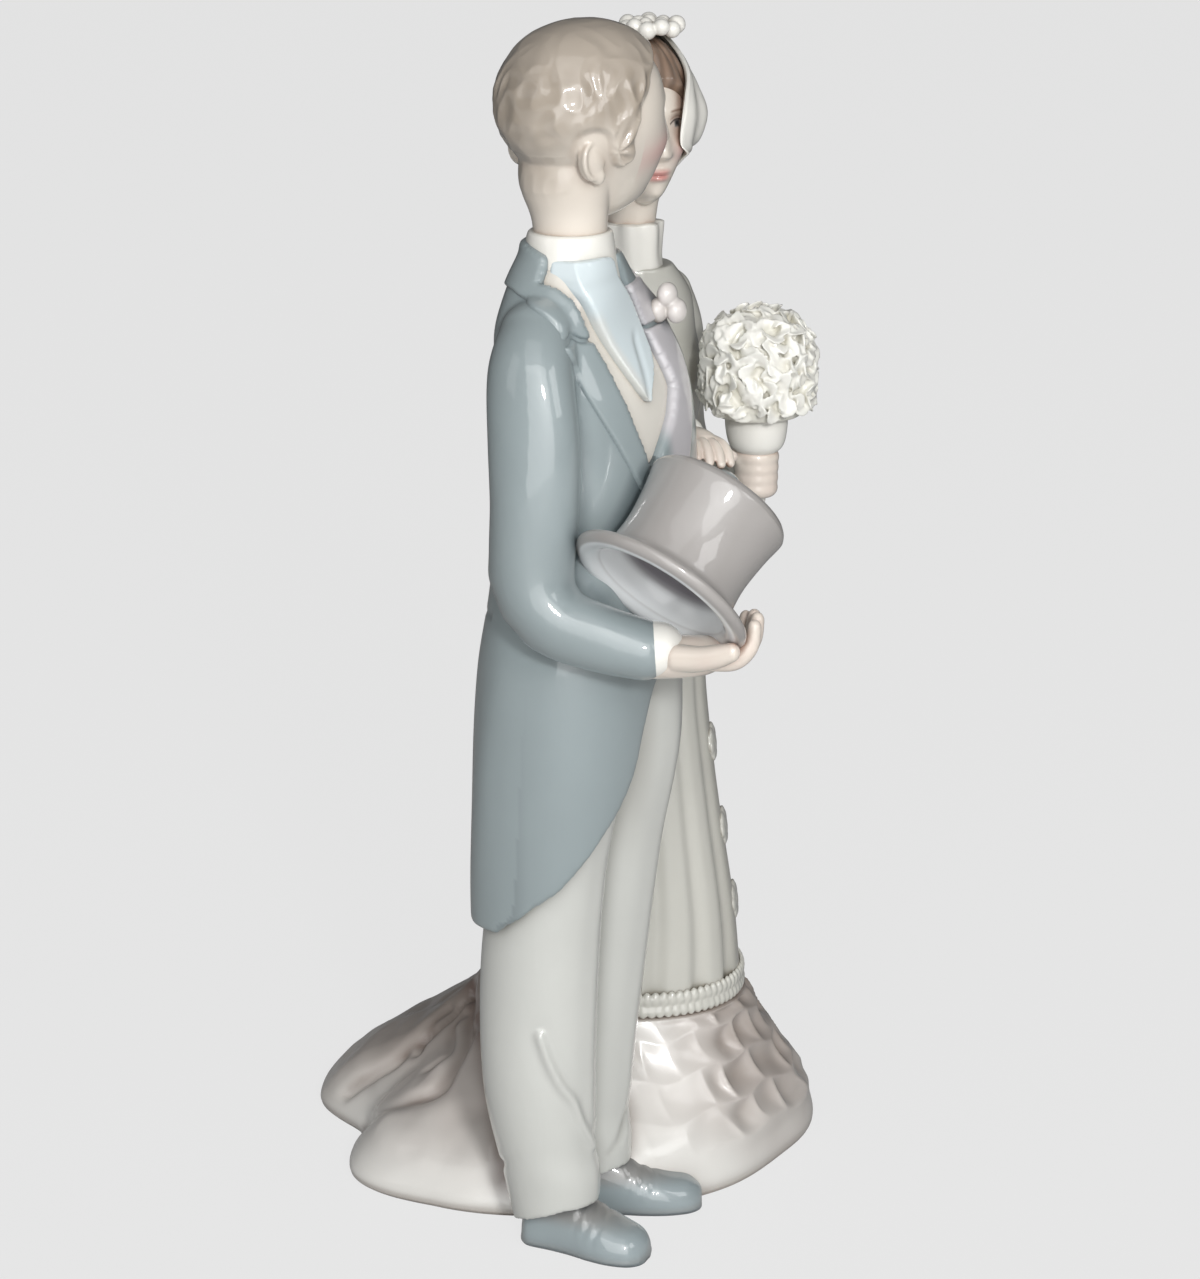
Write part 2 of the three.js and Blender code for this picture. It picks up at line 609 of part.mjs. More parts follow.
// A fist round an upright stem: four finger ridges one over another, a thumb on top and the heel of the hand.
function fist(middle, wrist, grip) {
  const away = wrist.clone().sub(middle);
  const back = Math.atan2(away.y, away.x);
  const { x, y, z } = middle;
  const width = grip + 1.9;
  const ridges = (angle, t) => 0.34 * (Math.abs(Math.sin(4 * HALF_TURN * t)) - 0.4);
  const rows = [-4.2, -3.6, -1.8, 0, 2, 4, 4.6].map((rise) => {
    const taper = rise ** 2 / 40;
    return [z + rise, x, y, width - taper, width - taper];
  });
  const thumb = [0, 1, 2, 3].map((i) => {
    const angle = back + radians(10 + 35 * i);
    return [x + width * Math.cos(angle), y + width * Math.sin(angle), z + 3.6 - 0.5 * i, 1.2 - 0.08 * i];
  });
  const heel = vector(Math.cos(back), Math.sin(back), 0).multiplyScalar(grip + 0.6).add(middle);
  const palm = [
    [wrist.x, wrist.y, wrist.z, 2.3],
    [...wrist.clone().lerp(heel, 0.6).toArray(), 2.6],
    [heel.x, heel.y, heel.z, 3.4, 2],
  ];
  const upwards = vector(0, 0, 1);
  return join(
    solid(upright(rows, { sides: 12, rings: 16, fold: ridges })),
    solid(limb(thumb, { sides: 6, rings: 3, side: upwards })),
    solid(limb(palm, { sides: 8, rings: 3, side: upwards })),
  );
}

// Top hat, its mouth down towards the groom's right hand and its crown up to his left

const HAT_MOUTH = vector(-14.7, -16.6, WAIST + 2.3);
const HAT_CROWN_WAY = vector(0.692, -0.238, 0.682).normalize();

function topHat(grow = 0, hollow = false) {
  const [brim, crown, height] = [HAT_BRIM_RADIUS + grow, HAT_CROWN_RADIUS + grow, HAT_HEIGHT + grow];
  const bore = HAT_CROWN_RADIUS - HAT_WALL;
  const ceiling = HAT_HEIGHT - HAT_WALL;
  const inside = hollow
    ? [
        [0, ceiling - 0.4],
        [bore - 1.4, ceiling - 0.7],
        [bore, ceiling - 2.2],
        [bore - 0.1, HAT_HEIGHT * 0.42],
        [HAT_MOUTH_RADIUS - 1, 2],
        [HAT_MOUTH_RADIUS, 0.5],
      ]
    : [[0, -grow]];
  const outside = [
    [brim - 1.6, 0.1 - grow],
    [brim - 0.5, 0.5 - grow * 0.7],
    [brim, 1.2],
    [brim - 0.5, 1.9 + grow * 0.7],
    [brim - 1.6, 2 + grow],
    [crown + 1, 2.6 + grow],
    [crown + 0.2, 4.2],
    [crown, HAT_HEIGHT * 0.45],
    [crown + 0.5, HAT_HEIGHT * 0.72],
    [crown + 1.2, height - 1.6],
    [crown + 0.7, height - 0.4],
    [crown - 0.6, height],
    [0, height + 0.3],
  ];
  const profile = [...inside, ...outside].map(([r, z]) => new THREE.Vector2(r, z));
  const form = new THREE.LatheGeometry(profile, 24).rotateX(HALF_TURN / 2);
  const turn = new THREE.Quaternion().setFromUnitVectors(vector(0, 0, 1), HAT_CROWN_WAY);
  return solid(form.applyQuaternion(turn).translate(HAT_MOUTH.x, HAT_MOUTH.y, HAT_MOUTH.z));
}

// Bride: skirt, flounce and train

const SKIRT = { x: BRIDE_SIDE, y: BRIDE_BACK };
const SKIRT_ROWS = [
  [LACE_HEIGHT - 2 * SEAM, SKIRT.x + 0.6, SKIRT.y + 5, 17.6, 21.6],
  [LACE_HEIGHT + 14, SKIRT.x + 0.4, SKIRT.y + 3.2, 15.4, 18.8],
  [LACE_HEIGHT + 32, SKIRT.x, SKIRT.y + 2.2, 13.4, 15.2],
  [BRIDE_WAIST - 32, SKIRT.x, SKIRT.y + 1.6, 12.2, 12.2],
  [BRIDE_WAIST - 18, SKIRT.x, SKIRT.y + 0.8, 11.4, 10.8],
  [BRIDE_WAIST - 7, SKIRT.x, SKIRT.y + 0.2, 9.6, 9],
  [BRIDE_WAIST, SKIRT.x, SKIRT.y, 8.2, 7.6],
];

const PLEAT_DEPTH = 0.9;

function upperSkirt(grow = 0) {
  const fold = (angle, t) => PLEAT_DEPTH * (1 - t) ** 1.3 * (Math.cos(PLEATS * angle) - 0.3);
  return solid(upright(SKIRT_ROWS, { sides: PLEATS * 4, rings: 7, grow, fold }));
}

// Reach of the hem on the floor from the skirt's middle, by angle from +X, anticlockwise.
const HEM_MIDDLE = { x: SKIRT.x - 1, y: SKIRT.y + 4.5 };
const HEM_REACH = [
  [0, 31],
  [30, 34],
  [58, 43],
  [84, 50],
  [110, 50],
  [126, 42.5],
  [146, 48],
  [165, 43.5],
  [190, 37.5],
  [220, 33],
  [245, 31.5],
  [270, 31],
  [300, 34],
  [330, 31.5],
];

function hemReach(angle) {
  const degrees = THREE.MathUtils.euclideanModulo(THREE.MathUtils.radToDeg(angle), 360);
  const count = HEM_REACH.length;
  const i = HEM_REACH.findLastIndex(([at]) => at <= degrees);
  const next = i + 1 < count ? HEM_REACH[i + 1][0] : 360;
  const row = (k) => HEM_REACH[THREE.MathUtils.euclideanModulo(k, count)][1];
  const f = (degrees - HEM_REACH[i][0]) / (next - HEM_REACH[i][0]);
  return catmull(row(i - 1), row(i), row(i + 1), row(i + 2), f);
}

// Rows from the floor up: height, share of the way in from the hem to the lace edge, depth of the gathers.
// The gathers come in tiers, each shifted by half a gather from the one below it.
const TIER_TOP = LACE_HEIGHT - 3 * SEAM - HEM_THICKNESS;
const FLOUNCE_ROWS = [
  [0, 0.03, 0],
  [HEM_THICKNESS * 0.3, 0, 0],
  [HEM_THICKNESS, 0.005, 0],
  [HEM_THICKNESS + TIER_TOP * 0.22, 0.12, 0.9],
  [HEM_THICKNESS + TIER_TOP * 0.34, 0.24, 0],
  [HEM_THICKNESS + TIER_TOP * 0.45, 0.38, -1],
  [HEM_THICKNESS + TIER_TOP * 0.56, 0.52, 0],
  [HEM_THICKNESS + TIER_TOP * 0.67, 0.66, 0.9],
  [HEM_THICKNESS + TIER_TOP * 0.78, 0.78, 0],
  [HEM_THICKNESS + TIER_TOP * 0.88, 0.88, -0.7],
  [HEM_THICKNESS + TIER_TOP, 1, 0],
];

function flounce(grow = 0) {
  const sides = GATHERS * 4;
  const [, x, y, wide, deep] = SKIRT_ROWS[0];
  const made = FLOUNCE_ROWS.map(([z, share, depth]) =>
    Array.from({ length: sides }, (_, j) => {
      const angle = (j / sides) * FULL_TURN;
      const way = vector(Math.cos(angle), Math.sin(angle), 0);
      const waist = 1 / Math.hypot(way.x / (wide + 1), way.y / (deep + 1));
      const hem = vector(HEM_MIDDLE.x, HEM_MIDDLE.y, z).addScaledVector(way, hemReach(angle));
      const swell = depth * Math.cos(GATHERS * angle) + grow;
      return hem.lerp(vector(x, y, z).addScaledVector(way, waist), share).addScaledVector(way, swell);
    }),
  );
  return solid(skin(made));
}

// The lace edge is a double row of scallops round the foot of the upper skirt.
function laceEdge() {
  const [z, x, y, wide, deep] = SKIRT_ROWS[0];
  const sides = 52;
  const clear = PLEAT_DEPTH * 0.7 + SEAM;
  const scallops = [[0, 1.5, 0.3], [1.2, 1.7, 0.9], [2.4, 1.5, 0.2], [3.6, 1.3, 0.7]];
  const bands = [...scallops, [4.2, clear, 0], [0, clear, 0]];
  const section = (_, j) => {
    const angle = (j / sides) * FULL_TURN;
    return bands.map(([height, out, ripple]) => {
      const bulge = out + ripple * (j % 2);
      return vector(x + (wide + bulge) * Math.cos(angle), y + (deep + bulge) * Math.sin(angle), z + height);
    });
  };
  return solid(skin(Array.from({ length: sides }, section), true));
}

// Bride: bodice, collar, arms

const BODICE_ROWS = [
  [BRIDE_WAIST - 4, SKIRT.x, SKIRT.y, 8.8, 8],
  [BRIDE_WAIST + 2, SKIRT.x, SKIRT.y, 8, 7.3],
  [BRIDE_WAIST + 12, SKIRT.x - 0.2, SKIRT.y - 0.6, 8.8, 8],
  [BRIDE_WAIST + 21, SKIRT.x - 0.8, SKIRT.y - 1.4, 9.8, 8.8],
  [BRIDE_WAIST + 28, SKIRT.x - 2, SKIRT.y - 1.2, 9.8, 8],
  [BRIDE_SHOULDER + 2.4, SKIRT.x - 2.6, SKIRT.y - 1.6, 8.8, 7],
  [BRIDE_SHOULDER + 7.6, SKIRT.x - 5.2, SKIRT.y - 1.6, 6, 5.6],
];
const bodice = (grow = 0) => solid(upright(BODICE_ROWS, { sides: 16, rings: 9, grow }));

const BRIDE_NECK = { x: SKIRT.x - 6.7, y: SKIRT.y - 1.6 };

function brideCollar(grow = 0) {
  const fold = (angle, t) => 0.35 * t * Math.cos(9 * angle);
  const rows = [
    [BRIDE_SHOULDER + 5, BRIDE_NECK.x + 0.8, BRIDE_NECK.y, 5.2, 5],
    [BRIDE_SHOULDER + 9, BRIDE_NECK.x, BRIDE_NECK.y, 4.6, 4.6],
    [BRIDE_SHOULDER + 14.6, BRIDE_NECK.x - 0.4, BRIDE_NECK.y - 0.2, 4.8, 4.8],
  ];
  return solid(upright(rows, { sides: 18, rings: 5, grow, fold }));
}

const brideHead = (grow = 0) => mapped(solid(headForm(BRIDE_HEAD_SIZE, grow)), headPlace(BRIDE_HEAD));

function brideNeck(grow = 0) {
  const rows = [
    [BRIDE_SHOULDER + 4, BRIDE_NECK.x + 0.6, BRIDE_NECK.y, 3.8, 3.8],
    [BRIDE_SHOULDER + 14, BRIDE_NECK.x - 0.4, BRIDE_NECK.y, 3.8, 3.8],
    [BRIDE_HEAD.z - 4, BRIDE_HEAD.x + 1, BRIDE_HEAD.y + 1, 4.8, 4.8],
  ];
  return solid(upright(rows, { sides: 12, rings: 5, grow }));
}

const BOUQUET_BASE = vector(SKIRT.x - 2.4, SKIRT.y - 21.2, BRIDE_WAIST + 18);
const FIST = BOUQUET_BASE.clone().add(vector(0, 0, -9.9));
const BRIDE_LEFT_WRIST = FIST.clone().add(vector(6, 4.6, -1.2));
const BRIDE_LEFT_SLEEVE = [
  [SKIRT.x + 6.6, SKIRT.y - 1, BRIDE_SHOULDER + 0.8, 4, 4.2],
  [SKIRT.x + 9.8, SKIRT.y - 0.8, BRIDE_SHOULDER - 5.6, 4.6, 4.8],
  [SKIRT.x + 12, SKIRT.y - 0.2, BRIDE_SHOULDER - 14, 4.2, 4.4],
  [SKIRT.x + 13.4, SKIRT.y - 0.6, BRIDE_WAIST + 9, 3.9, 4],
  [SKIRT.x + 12.8, SKIRT.y - 4.4, BRIDE_WAIST + 3.4, 3.6, 3.6],
  [SKIRT.x + 8.8, SKIRT.y - 11, BRIDE_WAIST + 5, 3.3, 3.3],
  [...BRIDE_LEFT_WRIST.toArray(), 3, 3],
];

// Her right hand lies on his left forearm.
const ON_SLEEVE = vector(LEFT_WRIST.x + 3, LEFT_WRIST.y + 3.4, LEFT_WRIST.z + 7.2);
const BRIDE_RIGHT_WRIST = ON_SLEEVE.clone().add(vector(5, 6.4, -0.6));
const BRIDE_RIGHT_SLEEVE = [
  [SKIRT.x - 9, SKIRT.y - 1.4, BRIDE_SHOULDER - 1.4, 3.6, 3.8],
  [SKIRT.x - 11, SKIRT.y - 1.6, BRIDE_SHOULDER - 6.6, 4.2, 4.4],
  [SKIRT.x - 10.4, SKIRT.y - 2, BRIDE_WAIST + 18, 3.9, 4],
  [SKIRT.x - 9.4, SKIRT.y - 5, BRIDE_WAIST + 13, 3.6, 3.6],
  [...BRIDE_RIGHT_WRIST.toArray(), 3, 3],
];

// Veil: a folded sheet that frames the face and falls from the wreath down her back.
// Rows: height, middle x, middle y, half width, half depth, direction of its back, spread each way, folds.
const VEIL_ROWS = [
  [BRIDE_WAIST - 37, SKIRT.x + 1, SKIRT.y + 6, 14.5, 12.5, 90, 58, 1.4],
  [BRIDE_WAIST - 21, SKIRT.x + 0.6, SKIRT.y + 4.6, 13.2, 11.2, 90, 62, 1.2],
  [BRIDE_WAIST - 5, SKIRT.x, SKIRT.y + 3.4, 11.8, 10, 90, 66, 1],
  [BRIDE_WAIST + 11, SKIRT.x - 0.6, SKIRT.y + 2.4, 11.4, 9.8, 88, 70, 0.9],
  [BRIDE_SHOULDER - 7, SKIRT.x - 1.4, SKIRT.y + 1.4, 10.8, 9.8, 82, 72, 0.8],
  [BRIDE_SHOULDER + 4, SKIRT.x - 3.6, SKIRT.y + 0.4, 8, 8.4, 66, 72, 0.6],
  [BRIDE_SHOULDER + 13, BRIDE_NECK.x, BRIDE_NECK.y, 6, 7.2, 56, 72, 0.4],
  [BRIDE_HEAD.z - 9.5, BRIDE_HEAD.x + 0.6, BRIDE_HEAD.y + 0.8, 6.4, 8.6, 50, 84, 0.35],
  [BRIDE_HEAD.z - 4.5, BRIDE_HEAD.x + 0.2, BRIDE_HEAD.y + 0.2, 9, 10.4, 47, 128, 0.35],
  [BRIDE_HEAD.z + 0.5, BRIDE_HEAD.x, BRIDE_HEAD.y, 10.2, 11.2, 46, 142, 0.35],
  [BRIDE_HEAD.z + 5, BRIDE_HEAD.x, BRIDE_HEAD.y, 9, 10.8, 46, 126, 0.3],
  [BRIDE_HEAD.z + 9, BRIDE_HEAD.x, BRIDE_HEAD.y, 7.4, 9.4, 46, 96, 0.2],
  [BRIDE_HEAD.z + 12.6, BRIDE_HEAD.x + 0.4, BRIDE_HEAD.y + 0.4, 5, 6.6, 46, 84, 0.1],
  [BRIDE_HEAD.z + 14, BRIDE_HEAD.x + 0.8, BRIDE_HEAD.y + 0.8, 3.4, 4.4, 46, 80, 0],
];

function veil() {
  const strips = 12;
  const levels = 14;
  const made = [];
  for (let i = 0; i <= levels; i++) {
    const [z, x, y, wide, deep, back, spread, folds] = along(VEIL_ROWS, i / levels);
    const arc = (inset) =>
      Array.from({ length: strips + 1 }, (_, j) => {
        const way = (2 * j) / strips - 1;
        const angle = radians(way * spread);
        const pleat = folds * Math.cos(way * HALF_TURN * 3.5) - inset;
        const out = vector((deep + pleat) * Math.cos(angle), (wide + pleat) * Math.sin(angle), 0);
        return out.applyAxisAngle(vector(0, 0, 1), radians(back)).add(vector(x, y, z));
      });
    made.push([...arc(0), ...arc(VEIL_CLOTH).reverse()]);
  }
  return solid(skin(made));
}

// Wreath, bouquet, rosettes and buttonhole

function wreath() {
  const middle = vector(BRIDE_HEAD.x + 0.9, BRIDE_HEAD.y - 1.4, BRIDE_HEAD.z + 14);
  const ring = new THREE.TorusGeometry(WREATH_RADIUS, 0.9, 4, WREATH_BUDS);
  ring.translate(middle.x, middle.y, middle.z);
  const buds = Array.from({ length: WREATH_BUDS }, (_, k) => {
    const angle = (k / WREATH_BUDS) * FULL_TURN;
    const spot = vector(Math.cos(angle), Math.sin(angle), 0).multiplyScalar(WREATH_RADIUS).add(middle);
    return solid(ball(spot.x, spot.y, spot.z + 0.3 + 0.4 * (k % 2), 1.4, 1.4, 1.35, 6));
  });
  return join(solid(ring), ...buds);
}

// A blossom of four cupped petals, looking along +Z.
function blossom(radius) {
  const sides = 8;
  const at = (r, z, notch) =>
    Array.from({ length: sides }, (_, j) => {
      const out = r * (1 - notch * (j % 2));
      return vector(out, 0, z).applyAxisAngle(vector(0, 0, 1), (j / sides) * FULL_TURN);
    });
  const [stem, rim, heart] = [
    at(radius * 0.4, -radius, 0),
    at(radius, radius * 0.3, 0.22),
    at(radius * 0.34, radius * 0.12, 0),
  ];
  return skin([stem, rim, heart]);
}

// The bouquet is a rounded dome set all over with blossoms, each looking straight out of it.
function bouquet() {
  const [wide, tall] = [BOUQUET_RADIUS - 1.1, BOUQUET_HEIGHT - 1];
  const domeRadius = (rise) => wide * Math.min(1, 0.88 + rise) * Math.sqrt(1 - rise ** 4);
  const rows = [0, 0.14, 0.45, 0.72, 0.9, 0.995].map((rise) => {
    return [tall * rise, 0, 0, domeRadius(rise), domeRadius(rise)];
  });
  const parts = [solid(upright(rows, { sides: 10, rings: 5 }))];
  const golden = HALF_TURN * (3 - Math.sqrt(5));
  for (let k = 0; k < BLOSSOMS; k++) {
    const rise = 1 - ((k + 0.4) / BLOSSOMS) * 0.96;
    const radius = domeRadius(rise);
    const slope = Math.atan2(domeRadius(rise - 0.03) - domeRadius(Math.min(rise + 0.03, 1)), 0.06 * tall);
    const angle = k * golden;
    const way = vector(Math.cos(angle) * Math.cos(slope), Math.sin(angle) * Math.cos(slope), Math.sin(slope));
    const turn = new THREE.Quaternion().setFromUnitVectors(vector(0, 0, 1), way);
    const form = blossom(BLOSSOM_RADIUS * (1 + 0.1 * Math.sin(k * 2.4))).rotateZ(k);
    const spot = vector(radius * Math.cos(angle), radius * Math.sin(angle), tall * rise);
    spot.addScaledVector(way, 0.5);
    parts.push(solid(form.applyQuaternion(turn).translate(spot.x, spot.y, spot.z)));
  }
  return mapped(join(...parts), new THREE.Matrix4().setPosition(BOUQUET_BASE));
}

// The lace holder under the flowers and the wrapped stem that the fist closes on.
function bouquetHolder(grow = 0) {
  const { x, y, z } = BOUQUET_BASE;
  const fold = (angle, t) => 0.35 * smoothstep(t, 0.5, 1) * Math.cos(9 * angle);
  const rows = [
    [z - 15, x, y, STEM_RADIUS, STEM_RADIUS],
    [z - 10, x, y, STEM_RADIUS, STEM_RADIUS],
    [z - 5.2, x, y, STEM_RADIUS + 0.3, STEM_RADIUS + 0.3],
    [z - 4, x, y, 3.7, 3.7],
    [z - SEAM, x, y, 5, 5],
  ];
  return solid(upright(rows, { sides: 18, rings: 8, grow, fold }));
}

function rosette(angle, rise) {
  const [z, x, y, wide, deep] = along(SKIRT_ROWS, rise);
  const way = vector(Math.cos(angle), Math.sin(angle), 0.12).normalize();
  const turn = new THREE.Quaternion().setFromUnitVectors(vector(0, 0, 1), way);
  const form = blossom(ROSETTE_RADIUS).scale(1, 1, 0.8).rotateZ(rise * 9);
  const spot = vector(x + (wide + 0.6) * Math.cos(angle), y + (deep + 0.6) * Math.sin(angle), z);
  return solid(form.applyQuaternion(turn).translate(spot.x, spot.y, spot.z));
}

function buttonhole() {
  const petals = [0, 120, 240].map((degrees) => {
    const spot = vector(0, 0, 1.6).applyAxisAngle(vector(0.9, 0.4, 0).normalize(), radians(degrees));
    return solid(ball(8.6 + spot.x, -7.4 + spot.y, SHOULDER - 0.4 + spot.z, 1.8, 1.8, 1.8, 8));
  });
  return join(...petals);
}

// Assembly: a casting stays whole where it shows, and its neighbours are cut clear of it by the seam.

const look = (color, roughness) => ({ color, roughness, metalness: 0 });
const finish = {
  coat: look(0x95a4a9, 0.18),
  trousers: look(0xc9c9c4, 0.2),
  shoe: look(0x8f9fa6, 0.15),
  waistcoat: look(0xd2c7b8, 0.2),
  linen: look(0xe6e4dc, 0.2),
  cravat: look(0xc4d0d4, 0.18),
  skin: look(0xdccdbf, 0.22),
  groomHair: look(0xb3a696, 0.22),
  brideHair: look(0x8d7766, 0.25),
  hat: look(0xaca6a3, 0.2),
  gown: look(0xdddccf, 0.2),
  flounce: look(0xcdbfb6, 0.28),
  flowers: look(0xe7e4da, 0.22),
  veil: look(0xdfe0da, 0.2),
};

const figurine = new THREE.Group();

function add(name, body, material, ...tools) {
  const mesh = whole(cut(body, ...tools)).getMesh();
  const geometry = new THREE.BufferGeometry();
  const corners = new Float32Array(mesh.numVert * 3);
  for (let i = 0; i < mesh.numVert; i++) {
    corners.set(mesh.vertProperties.subarray(i * mesh.numProp, i * mesh.numProp + 3), i * 3);
  }
  geometry.setAttribute("position", new THREE.BufferAttribute(corners, 3));
  geometry.setIndex(new THREE.BufferAttribute(mesh.triVerts, 1));
  const part = new THREE.Mesh(geometry, new THREE.MeshStandardMaterial(material));
  part.name = name;
  figurine.add(part);
}

// Groom, from the shoes up
const hatClear = topHat(SEAM);
const shoesClear = [shoe(RIGHT_SHOE, SEAM), shoe(LEFT_SHOE, SEAM)];
const legsClear = [trouserLeg(RIGHT_LEG, SEAM), trouserLeg(LEFT_LEG, SEAM)];
const waistcoatClear = waistcoatForm(SEAM);
const shirtCollarClear = shirtCollar(SEAM);
const coatClear = coatForm(SEAM);
const lapelClear = coatForm(LAPEL_CLOTH + 2 * SEAM);
const sleevesClear = [sleeve(RIGHT_SLEEVE, SEAM), sleeve(LEFT_SLEEVE, SEAM)];
add("top_hat", topHat(0, true), finish.hat);
add("groom_right_shoe", shoe(RIGHT_SHOE), finish.shoe);
add("groom_left_shoe", shoe(LEFT_SHOE), finish.shoe, shoesClear[0]);
add("groom_right_trouser_leg", trouserLeg(RIGHT_LEG), finish.trousers, ...shoesClear);
add("groom_left_trouser_leg", trouserLeg(LEFT_LEG), finish.trousers, ...shoesClear, legsClear[0]);
add("groom_waistcoat", waistcoatForm(), finish.waistcoat, ...legsClear, shirtCollarClear, hatClear);
add("groom_tailcoat", coat([coatHollow(), ...legsClear]), finish.coat, shirtCollarClear, hatClear);
add("groom_shirt_collar", shirtCollar(), finish.linen);
const cravat = layer(waistcoatForm, frontSlab(smooth(CRAVAT, 20), -REACH, 4), SEAM, 1.5);
add("groom_cravat", cravat, finish.cravat, shirtCollarClear);
add("groom_right_sleeve", sleeve(RIGHT_SLEEVE), finish.coat, coatClear, hatClear);
add("groom_left_sleeve", sleeve(LEFT_SLEEVE), finish.coat, coatClear, hatClear);
const overCoat = [...sleevesClear, hatClear, shirtCollarClear];
const opening = frontSlab([...RIGHT_EDGE, ...LEFT_EDGE], -REACH, 4);
const collarSlab = sideSlab(COLLAR_ZONE, -REACH, REACH);
add("groom_coat_collar", layer(coatForm, collarSlab, SEAM, LAPEL_CLOTH), finish.coat, opening, ...overCoat);
const notch = sideSlab(COLLAR_ZONE.map(([y, z]) => [y, z - SEAM]), -REACH, REACH);
const lapel = (edge) => layer(coatForm, frontSlab(edge, -REACH, 3), SEAM, LAPEL_CLOTH);
add("groom_right_lapel", lapel([...RIGHT_EDGE.slice(0, 4), ...RIGHT_LAPEL]), finish.coat, notch, ...overCoat);
add("groom_left_lapel", lapel([...LEFT_LAPEL, ...LEFT_EDGE.slice(1)]), finish.coat, notch, ...overCoat);
const rightAim = vector(0.45, -0.88, 0.06).normalize();
const rightCuff = (grow) => cuff(RIGHT_WRIST, rightAim, SLEEVE_RADIUS - 2.1, 2.2, grow);
const rightHand = hand({
  size: 1.18,
  bends: [0, 34, 38],
  spread: 1,
  thumb: { heading: 24, bends: [2, 8, 6] },
  mirror: -1,
});
const rightHeel = RIGHT_WRIST.clone().addScaledVector(rightAim, 3.4).add(vector(0, 0, -1.5));
const rightPalm = placeHand(rightHand, rightHeel, rightAim, vector(0, 0, 1));
add("groom_right_cuff", rightCuff(0), finish.linen, sleevesClear[0], hatClear);
add("groom_right_hand", rightPalm, finish.skin, hatClear, rightCuff(SEAM), sleevesClear[0]);
const leftAim = vector(-0.84, -0.52, -0.12).normalize();
const leftCuff = (grow) => cuff(LEFT_WRIST, leftAim, SLEEVE_RADIUS - 2.5, 2.2, grow);
const leftHand = hand({ size: 1, bends: [4, 16, 22], thumb: { heading: 30, bends: [20, 0, 0] }, mirror: 1 });
const leftHeel = LEFT_WRIST.clone().addScaledVector(leftAim, 3);
const leftPalm = placeHand(leftHand, leftHeel, leftAim, vector(0.2, 1, 0.3));
add("groom_left_cuff", leftCuff(0), finish.linen, sleevesClear[1], coatClear, hatClear);
add("groom_left_hand", leftPalm, finish.skin, hatClear, leftCuff(SEAM), sleevesClear[1], lapelClear);
add("groom_head", join(groomHead(), groomNeck()), finish.skin, shirtCollarClear, waistcoatClear);
add("groom_hair", groomHair(), finish.groomHair, groomHead(SEAM), groomNeck(SEAM), shirtCollarClear);
add("groom_buttonhole_flower", buttonhole(), finish.flowers, lapelClear);

// Bride, from the floor up
const groomClear = [...legsClear, ...shoesClear, coatClear];
const skirtClear = upperSkirt(SEAM);
const bodiceClear = bodice(SEAM);
const armsClear = [sleeve(BRIDE_LEFT_SLEEVE, SEAM), sleeve(BRIDE_RIGHT_SLEEVE, SEAM)];
const brideCollarClear = brideCollar(SEAM);
const groomHeadClear = [groomHead(SEAM), groomHair(SEAM)];
const brideHeadClear = [brideHead(SEAM), brideHair(SEAM), brideNeck(SEAM)];
const nearGroom = [lapelClear, sleevesClear[1]];
add("bride_flounce", flounce(), finish.flounce, ...groomClear);
add("bride_upper_skirt", upperSkirt(), finish.gown, ...groomClear);
add("bride_lace_edge", laceEdge(), finish.gown, ...groomClear);
add("bride_bodice", bodice(), finish.gown, skirtClear, ...nearGroom);
add("bride_left_sleeve", sleeve(BRIDE_LEFT_SLEEVE), finish.gown, bodiceClear, skirtClear);
add("bride_right_sleeve", sleeve(BRIDE_RIGHT_SLEEVE), finish.gown, bodiceClear, skirtClear, ...nearGroom);
add("bride_collar", brideCollar(), finish.linen, bodiceClear);
const brideSkin = join(brideHead(), brideNeck());
add("bride_head", brideSkin, finish.skin, brideCollarClear, bodiceClear, ...groomHeadClear);
const underHair = [brideHead(SEAM), brideNeck(SEAM), brideCollarClear, ...groomHeadClear];
add("bride_hair", brideHair(), finish.brideHair, ...underHair);
add("bride_flower_wreath", wreath(), finish.flowers, ...brideHeadClear, ...groomHeadClear);
const wreathReach = WREATH_RADIUS + 2;
const wreathRoom = solid(
  ball(BRIDE_HEAD.x + 0.9, BRIDE_HEAD.y - 1.4, BRIDE_HEAD.z + 14.2, wreathReach, wreathReach, 2.6, 14),
);
const underVeil = [...brideHeadClear, wreathRoom, bodiceClear, brideCollarClear, ...armsClear, skirtClear];
add("bride_veil", veil(), finish.veil, ...underVeil, ...nearGroom, ...groomHeadClear, shirtCollarClear);
const holderClear = bouquetHolder(SEAM);
add("bouquet_flowers", bouquet(), finish.flowers, holderClear);
add("bouquet_holder", bouquetHolder(), finish.linen);
const leftFistAim = FIST.clone().sub(BRIDE_LEFT_WRIST).normalize();
const brideLeftCuff = (grow) => cuff(BRIDE_LEFT_WRIST, leftFistAim, 2.9, 1.6, grow);
const brideFist = fist(FIST, BRIDE_LEFT_WRIST.clone().addScaledVector(leftFistAim, 1.6), STEM_RADIUS + SEAM);
add("bride_left_cuff", brideLeftCuff(0), finish.linen, armsClear[0]);
add("bride_left_hand", brideFist, finish.skin, holderClear, brideLeftCuff(SEAM), armsClear[0]);
const rightHandAim = ON_SLEEVE.clone().sub(BRIDE_RIGHT_WRIST).normalize();
const brideRightCuff = (grow) => cuff(BRIDE_RIGHT_WRIST, rightHandAim, 2.9, 1.6, grow);
const openThumb = { heading: 30, bends: [16, 0, 0] };
const openHand = hand({ size: 0.84, bends: [8, 22, 20], thumb: openThumb, mirror: -1 });
const onSleeve = placeHand(
  openHand,
  BRIDE_RIGHT_WRIST.clone().addScaledVector(rightHandAim, 2.2),
  rightHandAim,
  vector(-0.2, 0, -1),
);
